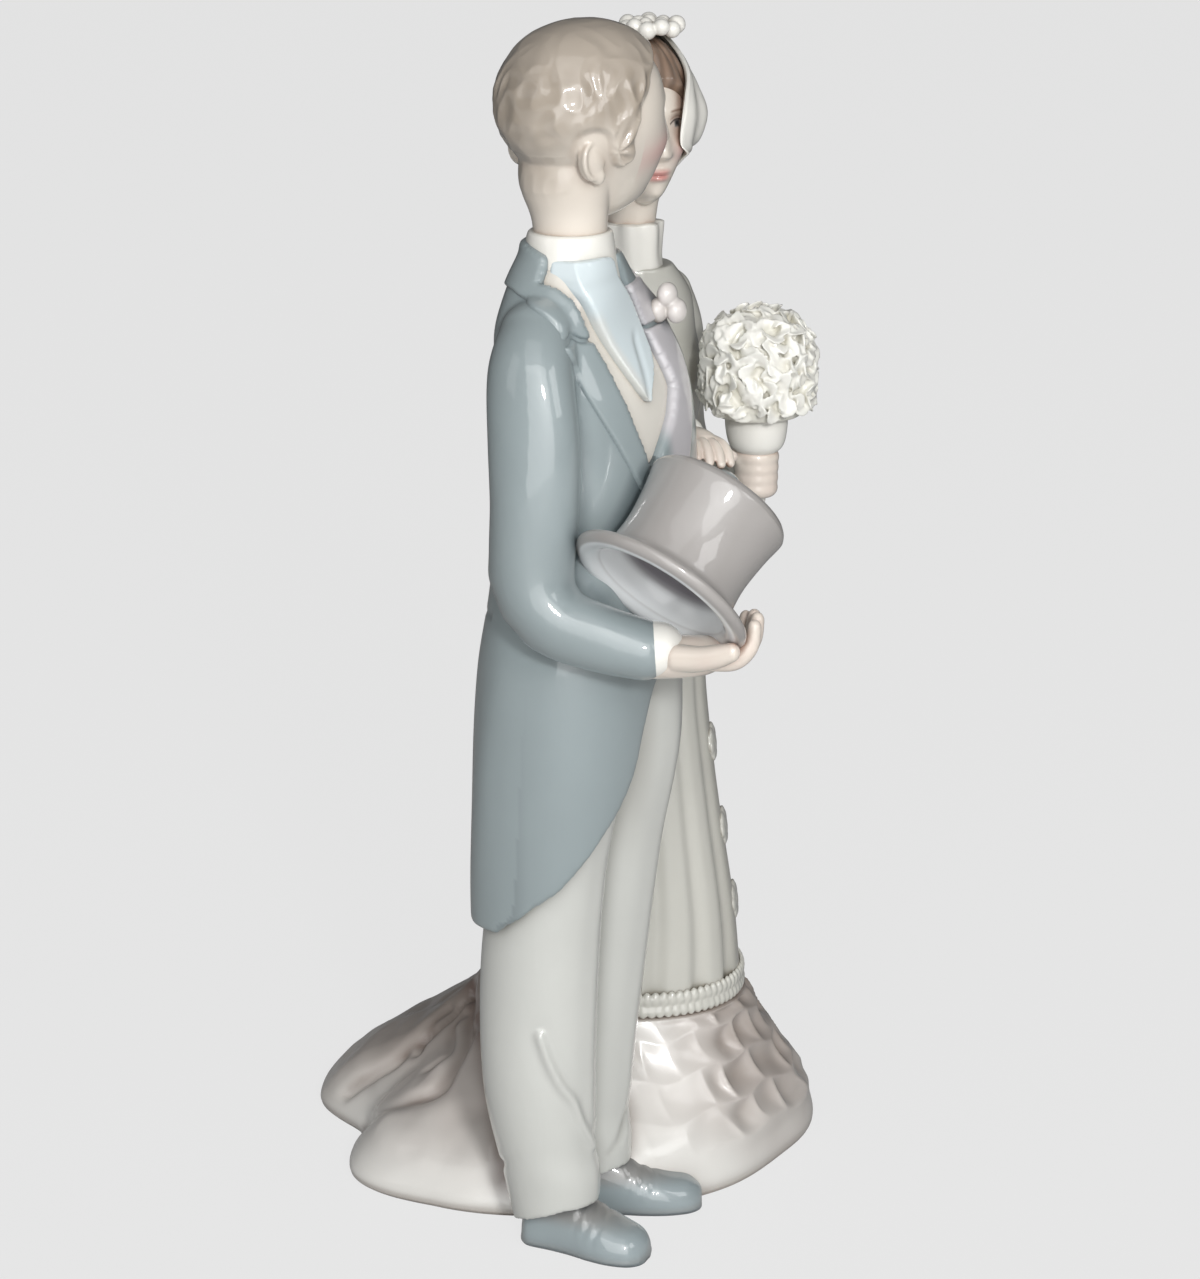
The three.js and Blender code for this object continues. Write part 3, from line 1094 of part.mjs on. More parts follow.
add("bride_right_cuff", brideRightCuff(0), finish.linen, armsClear[1], ...nearGroom);
add("bride_right_hand", onSleeve, finish.skin, brideRightCuff(SEAM), armsClear[1], ...nearGroom);
[0.42, 0.29, 0.17].forEach((rise, i) => {
  add(`bride_skirt_rosette_${i + 1}`, rosette(radians(-76), rise), finish.flowers, skirtClear);
});

// The origin goes on the floor under the middle of the group.
const room = new THREE.Box3().setFromObject(figurine);
const middle = room.getCenter(vector(0, 0, 0));
figurine.position.set(-middle.x, -middle.y, -room.min.z);

export default figurine;
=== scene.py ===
"""Wedding couple in glazed porcelain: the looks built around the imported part, in its own frame.

The sizes of the pieces are in millimetres in the couple's frame: the groom's axis is the origin, the
couple faces -Y, the bride stands on the +X side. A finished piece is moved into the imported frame, in
metres. The settings, the reach of the glaze and the lamps are in metres too.
"""
import math

import bmesh
import bpy
import numpy as np
from bpy.props import FloatProperty, FloatVectorProperty, IntProperty, PointerProperty
from bpy.types import Operator, Panel, PropertyGroup
from mathutils import Euler, Matrix, Vector, noise


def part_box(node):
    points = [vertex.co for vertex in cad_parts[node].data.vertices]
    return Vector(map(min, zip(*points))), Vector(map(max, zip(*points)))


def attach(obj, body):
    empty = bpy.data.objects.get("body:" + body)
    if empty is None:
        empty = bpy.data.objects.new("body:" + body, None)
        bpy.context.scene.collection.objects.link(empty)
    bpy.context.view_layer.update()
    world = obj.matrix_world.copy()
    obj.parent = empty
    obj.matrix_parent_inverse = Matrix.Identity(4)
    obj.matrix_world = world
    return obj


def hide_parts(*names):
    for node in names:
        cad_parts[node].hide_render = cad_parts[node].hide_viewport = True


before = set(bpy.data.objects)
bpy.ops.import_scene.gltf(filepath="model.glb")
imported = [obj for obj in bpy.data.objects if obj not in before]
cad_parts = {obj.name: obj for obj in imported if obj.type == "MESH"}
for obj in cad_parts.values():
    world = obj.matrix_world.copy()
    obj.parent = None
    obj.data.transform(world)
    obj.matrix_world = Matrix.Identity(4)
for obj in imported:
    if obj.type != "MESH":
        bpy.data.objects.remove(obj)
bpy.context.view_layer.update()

bl_info = {
    "name": "Porcelain Couple",
    "version": (1, 0, 0),
    "blender": (4, 5, 0),
    "location": "3D View > Sidebar > Porcelain",
    "description": "Builds the glazed porcelain looks of a wedding couple figurine around its packed part",
    "category": "Object",
}

TURN = 2 * math.pi
COLLAR_MIDDLE = (-2.5, 3.4)


def couple_place():
    """The matrix from the couple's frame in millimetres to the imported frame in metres."""
    low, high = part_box("groom_shirt_collar")
    middle = (low + high) / 2
    shift = Vector((middle.x - COLLAR_MIDDLE[0] / 1000, middle.y - COLLAR_MIDDLE[1] / 1000, 0))
    return Matrix.Translation(shift) @ Matrix.Scale(0.001, 4)


PLACE = couple_place()


def linear(red, green, blue):
    """A display colour from 0 to 255 as scene-linear light."""
    shares = [channel / 255 for channel in (red, green, blue)]
    return tuple(c / 12.92 if c <= 0.04045 else ((c + 0.055) / 1.055) ** 2.4 for c in shares)


def colour_setting(name, description, display):
    return FloatVectorProperty(
        name=name, description=description, subtype="COLOR", size=3, min=0, max=1, default=linear(*display)
    )


class PorcelainColours(PropertyGroup):
    coat: colour_setting("Coat", "Underglaze colour of the tailcoat", (146, 157, 159))
    # Painted shade: the coat's shade colour, laid in the vent, along the waist seam and inside the tails.
    coat_shade: colour_setting("Coat shade", "Colour that pools in the coat's creases", (92, 101, 104))
    trousers: colour_setting("Trousers", "Colour of the trousers", (202, 203, 198))
    shoe: colour_setting("Shoe", "Colour of the shoes", (152, 163, 166))
    waistcoat: colour_setting("Waistcoat", "Cream colour of the waistcoat", (226, 222, 213))
    cravat: colour_setting("Cravat", "Pale colour of the cravat", (214, 225, 228))
    linen: colour_setting("Linen", "White of collars, cuffs and wreath", (240, 238, 231))
    skin: colour_setting("Skin", "Colour of faces and hands", (230, 221, 209))
    blush: colour_setting("Blush", "Pink of cheeks and lips", (222, 156, 152))
    groom_hair: colour_setting("Groom's hair", "Light brown of the groom's hair", (168, 157, 144))
    bride_hair: colour_setting("Bride's hair", "Brown of the bride's hair", (150, 126, 108))
    hat: colour_setting("Hat", "Grey of the top hat", (168, 164, 161))
    gown: colour_setting("Gown", "Cream of the bodice and skirt", (202, 201, 193))
    flounce: colour_setting("Flounce", "Beige of the flounce and train", (199, 191, 185))
    flounce_shade: colour_setting("Flounce shade", "Brown grey in the gathers", (148, 136, 127))
    hem: colour_setting("Hem", "White of the hem", (226, 224, 219))
    flowers: colour_setting("Flowers", "Ivory of the flowers", (238, 237, 230))


class PorcelainDetail(PropertyGroup):
    coat_grain: FloatProperty(
        name="Coat grain", description="Size of the coat's surface cells", default=0.00048, min=0.0003,
        max=0.002, unit="LENGTH"
    )
    face_grain: FloatProperty(
        name="Face grain", description="Size of the surface cells of faces and hands", default=0.00021,
        min=0.00015, max=0.001, unit="LENGTH"
    )
    gathers: IntProperty(
        name="Gathers", description="Scoops round each tier of the flounce", default=25, min=8
    )
    tiers: IntProperty(name="Tiers", description="Tiers of gathers up the flounce", default=4, min=1, max=8)
    pleats: IntProperty(name="Pleats", description="Pleats round the upper skirt", default=14, min=4)
    lace_beads: IntProperty(
        name="Lace beads", description="Scallops round each row of lace", default=92, min=12
    )
    wreath_buds: IntProperty(name="Wreath buds", description="Buds in the bride's wreath", default=11, min=5)
    petals: IntProperty(name="Petals", description="Curled petals in the bouquet", default=300, min=8)
    body_roughness: FloatProperty(
        name="Body roughness", description="Roughness under the clear glaze", default=0.42, min=0, max=1,
        subtype="FACTOR"
    )


# Curves, skins and solids


def spline(a, b, c, d, f):
    """A smooth way from b at share 0 to c at share 1, led by the neighbours a and d."""
    square = 2 * a - 5 * b + 4 * c - d
    cube = 3 * b - a - 3 * c + d
    return 0.5 * (2 * b + (c - a) * f + square * f**2 + cube * f**3)


def along(rows, t):
    """The rows of numbers at shares t of the way through a table, on a smooth curve through it."""
    rows = np.asarray(rows, float)
    last = len(rows) - 1
    place = np.clip(np.asarray(t, float), 0, 1) * last
    i = np.minimum(place.astype(int), last - 1)
    f = (place - i)[..., None]
    a, b, c, d = rows[np.maximum(i - 1, 0)], rows[i], rows[i + 1], rows[np.minimum(i + 2, last)]
    return spline(a, b, c, d, f)


def ease(low, high, value):
    """A smooth step from 0 at low to 1 at high."""
    f = np.clip((np.asarray(value, float) - low) / (high - low), 0, 1)
    return f * f * (3 - 2 * f)


def bump(value, at, wide):
    return np.exp(-(((value - at) / wide) ** 2))


def beside(spots, line, wide):
    """1 on a smooth line through points in space, falling to 0 within a few widths of it."""
    spots = np.asarray(spots, float)
    gap = np.full(spots.shape[:-1], np.inf)
    for point in along(line, np.linspace(0, 1, 10 * len(line))):
        gap = np.minimum(gap, ((spots - point) ** 2).sum(-1))
    return np.exp(-gap / wide**2)


def coords(mesh):
    flat = np.empty(len(mesh.vertices) * 3, np.float32)
    mesh.vertices.foreach_get("co", flat)
    return flat.reshape(-1, 3).astype(float)


def set_coords(mesh, spots):
    mesh.vertices.foreach_set("co", np.ascontiguousarray(spots, np.float32).ravel())
    mesh.update()


def normals(mesh):
    flat = np.empty(len(mesh.vertices) * 3, np.float32)
    mesh.vertices.foreach_get("normal", flat)
    return flat.reshape(-1, 3).astype(float)


def push(mesh, amount):
    """Moves every vertex along its normal by its own amount."""
    set_coords(mesh, coords(mesh) + normals(mesh) * np.asarray(amount)[:, None])


def cloud(spots, size, seed=0.0):
    """Soft seeded noise from -1 to 1 at each spot, with features about as big as size."""
    offset = Vector((seed * 17.3, seed * 5.1, seed * 9.7))
    return np.array([noise.noise(Vector(p) / size + offset) for p in spots])


def sphere(sides, levels):
    """A unit ball with the given number of meridians and of circles between its poles."""
    lift = np.linspace(-math.pi / 2, math.pi / 2, levels + 2)[1:-1, None]
    angle = np.arange(sides)[None, :] / sides * TURN
    spots = [np.cos(lift) * np.cos(angle), np.cos(lift) * np.sin(angle), np.sin(lift) + 0 * angle]
    return skin(np.stack(spots, -1))


def drum(sides, levels):
    """A closed drum with circles of vertices up its wall, whose places a skin then draws onto its rings."""
    made = bmesh.new()
    bmesh.ops.create_cone(made, cap_ends=True, cap_tris=True, segments=sides, radius1=1, radius2=1, depth=2)
    wall = [edge for edge in made.edges if edge.verts[0].co.z * edge.verts[1].co.z < 0]
    bmesh.ops.subdivide_edges(made, edges=wall, cuts=levels - 2, use_grid_fill=True)
    return to_mesh(made)


def to_mesh(made):
    bmesh.ops.recalc_face_normals(made, faces=made.faces)
    mesh = bpy.data.meshes.new("form")
    made.to_mesh(mesh)
    made.free()
    return mesh


def skin(rings):
    """A closed skin over rings of points: the circles of a drum drawn onto them."""
    rings = np.asarray(rings, float)
    levels, sides = rings.shape[:2]
    mesh = drum(sides, levels)
    unit = coords(mesh)
    level = np.rint((unit[:, 2] + 1) / 2 * (levels - 1)).astype(int) + 1
    hub = np.hypot(unit[:, 0], unit[:, 1]) < 0.5
    level = np.where(hub, np.where(unit[:, 2] < 0, 0, levels + 1), level)
    turn = np.rint(np.arctan2(unit[:, 0], unit[:, 1]) / TURN * sides).astype(int) % sides
    ends = [np.repeat(ring.mean(0)[None], sides, 0)[None] for ring in (rings[0], rings[-1])]
    set_coords(mesh, np.concatenate([ends[0], rings, ends[1]])[level, turn])
    return outward(mesh)


def outward(mesh):
    """Turns every face of a closed mesh outward."""
    made = bmesh.new()
    made.from_mesh(mesh)
    bmesh.ops.recalc_face_normals(made, faces=made.faces)
    made.to_mesh(mesh)
    made.free()
    return mesh


def upright(rows, sides=96, levels=64, grow=0.0, fold=None, power=2.0, start=0.0):
    """A form over level sections: rows of height, middle x, middle y, half width, half depth and turn."""
    t = np.linspace(start, 1, levels)
    table = along(rows, t)
    z, x, y, wide, deep = (table[:, k, None] for k in range(5))
    spin = np.radians(table[:, 5, None]) if table.shape[1] > 5 else 0 * z
    z = z.copy()
    z[0] -= grow
    z[-1] += grow
    angle = np.arange(sides) / sides * TURN
    c, s = np.cos(angle), np.sin(angle)
    u = (wide + grow) * np.sign(c) * np.abs(c) ** (2 / power)
    v = (deep + grow) * np.sign(s) * np.abs(s) ** (2 / power)
    if fold:
        reach = 1 + fold(angle[None, :], t[:, None]) / np.hypot(u, v)
        u, v = u * reach, v * reach
    across = x + u * np.cos(spin) - v * np.sin(spin)
    back = y + u * np.sin(spin) + v * np.cos(spin)
    return skin(np.stack([across, back, np.broadcast_to(z, across.shape)], -1))


def limb(rows, sides=48, levels=48, side=(1, 0, 0), fold=None, cap=6):
    """A round-ended limb along a path: rows of x, y, z, radius along the side vector and radius across."""
    rows = [list(row) + [row[3]] * (5 - len(row)) for row in rows]
    t = np.linspace(0, 1, levels)
    table = along(rows, t)
    angle = np.arange(sides) / sides * TURN
    side = np.array(side, float)
    rings = []
    for i, row in enumerate(table):
        ahead = table[min(i + 1, levels - 1), :3] - table[max(i - 1, 0), :3]
        ahead /= np.linalg.norm(ahead)
        u = side - ahead * side.dot(ahead)
        u /= np.linalg.norm(u)
        v = np.cross(ahead, u)
        swell = fold(angle, t[i]) if fold else 0
        deep, wide = row[3] + swell, row[4] + swell
        out = u * (deep * np.cos(angle))[:, None] + v * (wide * np.sin(angle))[:, None]
        leans = [0.0]
        steps = [math.pi / 2 * k / (cap + 1) for k in range(1, cap + 1)]
        if i == 0:
            leans = [-step for step in reversed(steps)] + leans
        if i == levels - 1:
            leans = leans + steps
        for lean in leans:
            rings.append(row[:3] + ahead * min(row[3], row[4]) * math.sin(lean) + out * math.cos(lean))
    return skin(rings)


def ball(middle, radii, sides=24, levels=15):
    radii = radii if hasattr(radii, "__len__") else (radii,) * 3
    mesh = sphere(sides, levels)
    set_coords(mesh, coords(mesh) * radii + np.array(middle))
    return mesh


def slab(outline, near, far, view="front"):
    """A slab whose outline is drawn across and up in the front view, or back and up in the side view."""
    made = bmesh.new()
    if view == "front":
        corners = [(a, near, b) for a, b in outline]
        reach = (0, far - near, 0)
    else:
        corners = [(near, a, b) for a, b in outline]
        reach = (far - near, 0, 0)
    face = made.faces.new([made.verts.new(corner) for corner in corners])
    pulled = bmesh.ops.extrude_face_region(made, geom=[face], use_keep_orig=True)
    moved = [e for e in pulled["geom"] if isinstance(e, bmesh.types.BMVert)]
    bmesh.ops.translate(made, verts=moved, vec=reach)
    return to_mesh(made)


def smooth_line(points, count):
    return [tuple(p) for p in along(points, np.linspace(0, 1, count))]


def merged(*meshes):
    made = bmesh.new()
    for mesh in meshes:
        made.from_mesh(mesh)
        bpy.data.meshes.remove(mesh)
    mesh = bpy.data.meshes.new("form")
    made.to_mesh(mesh)
    made.free()
    return mesh


def with_steps(mesh, steps):
    """The mesh after a stack of modifiers: rows of type and settings. A mesh in the settings is a tool."""
    body = bpy.data.objects.new("work", mesh)
    bpy.context.scene.collection.objects.link(body)
    tools = []
    for kind, settings in steps:
        modifier = body.modifiers.new(kind.title(), kind)
        for key, value in settings.items():
            if isinstance(value, bpy.types.Mesh):
                value = bpy.data.objects.new("tool", value)
                bpy.context.scene.collection.objects.link(value)
                tools.append(value)
            setattr(modifier, key, value)
    graph = bpy.context.evaluated_depsgraph_get()
    result = bpy.data.meshes.new_from_object(body.evaluated_get(graph))
    for thing in (body, *tools):
        bpy.data.objects.remove(thing)
    return result


def boolean(mesh, operation, *tools):
    steps = [("BOOLEAN", {"operation": operation, "solver": "MANIFOLD", "object": tool}) for tool in tools]
    return with_steps(mesh, steps)


def cut(mesh, *tools):
    return boolean(mesh, "DIFFERENCE", *tools)


def keep(mesh, *tools):
    return boolean(mesh, "INTERSECT", *tools)


def fused(mesh, grain, passes=6):
    """One soft skin over everything in the mesh, in cells of the given size, with its edges eased."""
    return with_steps(
        mesh,
        [
            ("REMESH", {"mode": "VOXEL", "voxel_size": grain, "adaptivity": 0.0}),
            ("SMOOTH", {"factor": 0.5, "iterations": passes}),
        ],
    )


def turned(mesh, matrix):
    mesh.transform(matrix)
    if matrix.determinant() < 0:
        mesh.flip_normals()
    return mesh


# Glaze and finished pieces


def new_node(tree, kind, values=None, **settings):
    """Adds a shader node with its settings, and the values of its unlinked sockets by name."""
    node = tree.nodes.new(kind)
    for key, value in settings.items():
        setattr(node, key, value)
    for key, value in (values or {}).items():
        node.inputs[key].default_value = value
    return node


def glaze(name, crease, reach=0.0022, strength=0.75, roughness=0.42, coat_roughness=0.045):
    """Clear glaze over underglaze colour, darkened in creases and hollows by ambient occlusion: painted
    shade, standing in for shade and pooled pigment there.
    """
    material = bpy.data.materials.new(name)
    material.use_nodes = True
    tree = material.node_tree
    link = tree.links.new
    shader = tree.nodes["Principled BSDF"]
    shader.inputs["Roughness"].default_value = roughness
    shader.inputs["IOR"].default_value = 1.5
    shader.inputs["Coat Weight"].default_value = 1.0
    shader.inputs["Coat Roughness"].default_value = coat_roughness
    shader.inputs["Coat IOR"].default_value = 1.52
    tint = new_node(tree, "ShaderNodeAttribute", attribute_name="tint", attribute_type="GEOMETRY")
    place = new_node(tree, "ShaderNodeTexCoord")

    # Painted shade: how enclosed each spot is, within reach, darkens the colour towards the crease colour by
    # strength.
    hollow = new_node(tree, "ShaderNodeAmbientOcclusion", {"Distance": reach}, samples=6, only_local=False)
    fade = {"From Min": 0.25, "From Max": 0.92, "To Min": strength, "To Max": 0.0}
    shade_share = new_node(tree, "ShaderNodeMapRange", fade)
    link(hollow.outputs["AO"], shade_share.inputs["Value"])
    painted_crease_shade = (*linear(*crease), 1)
    shaded_tint = new_node(tree, "ShaderNodeMix", {"B": painted_crease_shade}, data_type="RGBA", blend_type="MULTIPLY")
    link(shade_share.outputs["Result"], shaded_tint.inputs["Factor"])
    link(tint.outputs["Color"], shaded_tint.inputs["A"])

    drift = new_node(tree, "ShaderNodeTexNoise", {"Scale": 90, "Detail": 4})
    link(place.outputs["Object"], drift.inputs["Vector"])
    uneven = new_node(tree, "ShaderNodeMapRange", {"To Min": 0.945, "To Max": 1.055})
    link(drift.outputs["Fac"], uneven.inputs["Value"])
    washed = new_node(tree, "ShaderNodeVectorMath", operation="SCALE")
    link(shaded_tint.outputs["Result"], washed.inputs["Vector"])
    link(uneven.outputs["Result"], washed.inputs["Scale"])
    link(washed.outputs["Vector"], shader.inputs["Base Color"])

    swell = new_node(tree, "ShaderNodeTexNoise", {"Scale": 260, "Detail": 2})
    link(place.outputs["Object"], swell.inputs["Vector"])
    skin_of_glaze = new_node(tree, "ShaderNodeBump", {"Strength": 0.12, "Distance": 0.0003})
    link(swell.outputs["Fac"], skin_of_glaze.inputs["Height"])
    link(skin_of_glaze.outputs["Normal"], shader.inputs["Coat Normal"])
    return material


def show(name, mesh, material, nodes, colours):
    """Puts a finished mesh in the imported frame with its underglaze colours, in place of CAD nodes."""
    name = name.replace(" ", "_")
    mesh.name = name
    mesh.materials.clear()
    mesh.materials.append(material)
    colours = np.broadcast_to(np.asarray(colours, float), (len(mesh.vertices), 3))
    layer = mesh.attributes.new("tint", "FLOAT_COLOR", "POINT")
    paint = np.column_stack([colours, np.ones(len(colours))]).astype(np.float32)
    layer.data.foreach_set("color", paint.ravel())
    mesh.transform(PLACE)
    mesh.shade_smooth()
    piece = bpy.data.objects.new(name, mesh)
    bpy.context.scene.collection.objects.link(piece)
    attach(piece, "root")
    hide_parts(*nodes)


def blend(a, b, share):
    share = np.clip(np.asarray(share, float), 0, 1)[..., None]
    return np.asarray(a, float) * (1 - share) + np.asarray(b, float) * share


# Tables of the couple, shared by the pieces that meet


COAT_ROWS = [
    [50, 0, 6.6, 18.4, 11, 0],
    [62, 0, 4.7, 19, 13.4, 0],
    [80, 0, 3.5, 19.3, 14, 0],
    [94, 0, 2.6, 18.8, 13.8, 0],
    [108, 0, 1.5, 16.8, 12.8, -4],
    [122, 0, 0.6, 16.8, 12.8, -8],
    [136, 0, 0.9, 17, 10.9, -8],
    [145, 0, 3.4, 16.2, 9.4, -4],
    [151, -1.8, 3.7, 11.6, 8.3, 0],
    [156, -2.2, 3.5, 7.6, 6.7, 0],
]
RIGHT_EDGE = [(-5.6, 125), (-7.9, 132.8), (-9.3, 138.1), (-9.9, 142), (-11.4, 148), (-12.2, 152.6),
              (-11, 159)]
LEFT_EDGE = [(-1.4, 159), (0.8, 150), (3, 143), (4, 136), (1.6, 132), (-3.4, 126.4)]
CUTAWAY = [(-16, 97), (-10.5, 96), (-8.3, 92), (-6.7, 86), (-5.2, 79), (-3, 74), (0, 69.4),
           (2.7, 65.8), (6, 62), (9.7, 59), (12.8, 56.2), (15.8, 53.4)]
TAIL_END = 53.4
RIGHT_LAPEL_ZONE = [(-13.4, 150), (-16.8, 146), (-16, 143.4), (-14.9, 142), (-14.4, 139.2),
                    (-13.4, 135.6), (-11.6, 131), (-9.1, 125.4), (-6, 119.5), (-4.4, 117),
                    (-2.4, 117.6), (-1.5, 122), (-3.6, 132), (-5.6, 141), (-6, 150)]
LEFT_LAPEL_ZONE = [(-2.4, 118), (1.4, 120), (6, 128), (8.8, 135), (10.2, 143), (9.6, 146), (3, 151),
                   (-3, 151), (-1.5, 143), (0, 136), (-2.4, 131), (-7, 125), (-7, 119)]
COLLAR_ZONE = [(-16, 143.6), (-6, 145.1), (-3.3, 145.6), (-2.4, 146.3), (-1.7, 147.4), (-0.4, 148.7),
               (1.3, 149.7), (3.4, 150.5), (6.2, 151.1), (9, 151.8), (16, 152), (24, 165), (0, 175),
               (-20, 165)]
COLLAR_TOP = [(-20, 151), (-2.6, 151), (-1, 151.8), (0.8, 153.2), (2, 154.8), (3.7, 156), (5.2, 156.6),
              (7, 157.1), (9.5, 157.5), (18, 157.8), (18, 170), (-20, 170)]
CRAVAT = [(-9.5, 156), (-10.4, 152.6), (-9.4, 149), (-7.9, 145), (-6.4, 140.6), (-5, 137.6),
          (-3.4, 135), (-2.2, 137), (0.4, 140.4), (1.2, 143.6), (0.4, 147), (-1.2, 150.4), (-2.6, 153),
          (-3.2, 156)]
RIGHT_WRIST = Vector((-16.6, -15.4, 101.8))
LEFT_WRIST = Vector((12, -13.6, 118))
RIGHT_SLEEVE = [
    [-13.8, 3.4, 146.2, 4.8, 5.4],
    [-17.3, 2.3, 141.2, 5.7, 6.4],
    [-19.3, 0.8, 132, 5.8, 6.9],
    [-20.2, 0.4, 123, 5.6, 6.8],
    [-20.5, 0.6, 111.4, 5.6, 6.4],
    [-20.2, -3, 105.8, 5.4, 5.6],
    [-18.6, -9.4, 103.4, 5, 5],
    [*RIGHT_WRIST, 4.5, 4.5],
]
LEFT_SLEEVE = [
    [12.6, 4.4, 146.4, 4.4, 4.8],
    [15.6, 4.6, 140.4, 4.8, 5.4],
    [17, 4.6, 130, 4.8, 5.6],
    [19, 4.2, 122, 4.8, 5.2],
    [19.2, 1.4, 114, 4.6, 4.6],
    [16.6, -6.4, 116, 4.4, 4.4],
    [*LEFT_WRIST, 4.1, 4.1],
]
SKIRT_ROWS = [
    [26.4, 33.6, 14.5, 17.6, 21.6],
    [41, 33.4, 12.7, 15.4, 18.8],
    [59, 33, 11.7, 13.4, 15.2],
    [77, 33, 11.1, 12.2, 12.2],
    [91, 33, 10.3, 11.4, 10.8],
    [102, 33, 9.7, 9.6, 9],
    [109, 33, 9.5, 8.2, 7.6],
]
FIST = Vector((30.6, -11.7, 117.1))
BOUQUET_BASE = Vector((30.6, -11.7, 127))
BRIDE_LEFT_WRIST = Vector((36.6, -7.1, 115.9))
BRIDE_RIGHT_WRIST = Vector((20, -3.8, 124.6))
ON_SLEEVE = Vector((15, -10.2, 125.2))


def coat_form(grow=0.0, levels=80, start=0.0):
    return upright(COAT_ROWS, 112, levels, grow=grow, power=2.5, start=start)


class PorcelainPiece:
    """What every operator of this add-on shares: its undo behaviour and access to the settings."""

    bl_options = {"REGISTER", "UNDO"}

    @property
    def colours(self):
        return bpy.context.scene.porcelain_colours

    @property
    def detail(self):
        return bpy.context.scene.porcelain_detail

    def tone(self, name):
        return np.array(getattr(self.colours, name))

    def execute(self, context):
        self.build()
        return {"FINISHED"}


# Groom


class PORCELAIN_OT_tailcoat(PorcelainPiece, Operator):
    """Builds the tailcoat with its sleeves: cutaway front, hollow tails and a soft fold at each elbow."""

    bl_idname = "porcelain.tailcoat"
    bl_label = "Tailcoat and sleeves"

    def cutaway(self):
        sweep = [*smooth_line(CUTAWAY, 40), (60, TAIL_END), (60, -10), (-60, -10), (-60, 97)]
        right = turned(slab(sweep, -60, 0, "side"), Matrix.Rotation(math.radians(27), 4, "Z"))
        left = turned(slab(sweep, 0, 60, "side"), Matrix.Translation((0, 2.5, -2.4)))
        below = slab([(-60, 0), (60, 0), (60, TAIL_END), (-60, TAIL_END)], -60, 60)
        return right, left, below

    def sleeve_folds(self, bend):
        def fold(angle, t):
            inside = np.maximum(0, -np.sin(angle - 0.4)) ** 1.5
            waves = sum(bump(t, bend + shift, 0.022) for shift in (-0.1, -0.03, 0.045))
            long_drape = 0.16 * np.sin(3 * angle + 9 * t) * ease(0.05, 0.3, t) * (1 - ease(0.85, 1, t))
            return inside * (0.5 * waves - 0.34 * bump(t, bend, 0.16)) + long_drape
        return fold

    def build(self):
        opening = [*RIGHT_EDGE, *LEFT_EDGE]
        body = coat_form()
        hollow = keep(coat_form(-1.2), slab([(-60, 0), (60, 0), (60, 110), (-60, 110)], -60, 60))
        recess = cut(slab(opening, -60, 4), coat_form(-1.1))
        body = cut(body, *self.cutaway(), hollow, recess)
        right = limb(RIGHT_SLEEVE, 72, 110, fold=self.sleeve_folds(0.66))
        left = limb(LEFT_SLEEVE, 64, 100, fold=self.sleeve_folds(0.68))
        grain = self.detail.coat_grain * 1000
        coat = fused(merged(body, right, left), grain, 7)
        p, n = coords(coat), normals(coat)
        behind = ease(6, 10, p[:, 1]) * ease(0.05, 0.6, n[:, 1])
        vent = bump(p[:, 0], 0, 0.45) * behind * ease(101, 97, p[:, 2])
        waist_seam = bump(p[:, 2], 101 + 0.12 * np.abs(p[:, 0]), 0.5) * behind * (np.abs(p[:, 0]) < 15)
        drape = 0.16 * np.sin(p[:, 0] * 0.62 + 0.09 * p[:, 2]) * behind * ease(104, 92, p[:, 2])
        push(coat, drape - 0.6 * vent - 0.16 * waist_seam)
        # Painted shade: the coat's shade colour in the vent slit and on the inside of the tails; the colour
        # is also drawn darker along the waist seam groove.
        shade = blend(self.tone("coat"), self.tone("coat_shade"), 0.85 * vent + 0.4 * waist_seam)
        inner = (n[:, 1] < 0) * ease(104, 98, p[:, 2]) * ease(2, 6, p[:, 1])
        shade = blend(shade, self.tone("coat_shade"), 0.35 * inner)
        material = glaze("coat glaze", (120, 132, 138), 0.003, 0.8, self.detail.body_roughness)
        nodes = ("groom_tailcoat", "groom_right_sleeve", "groom_left_sleeve")
        show("tailcoat", coat, material, nodes, shade)


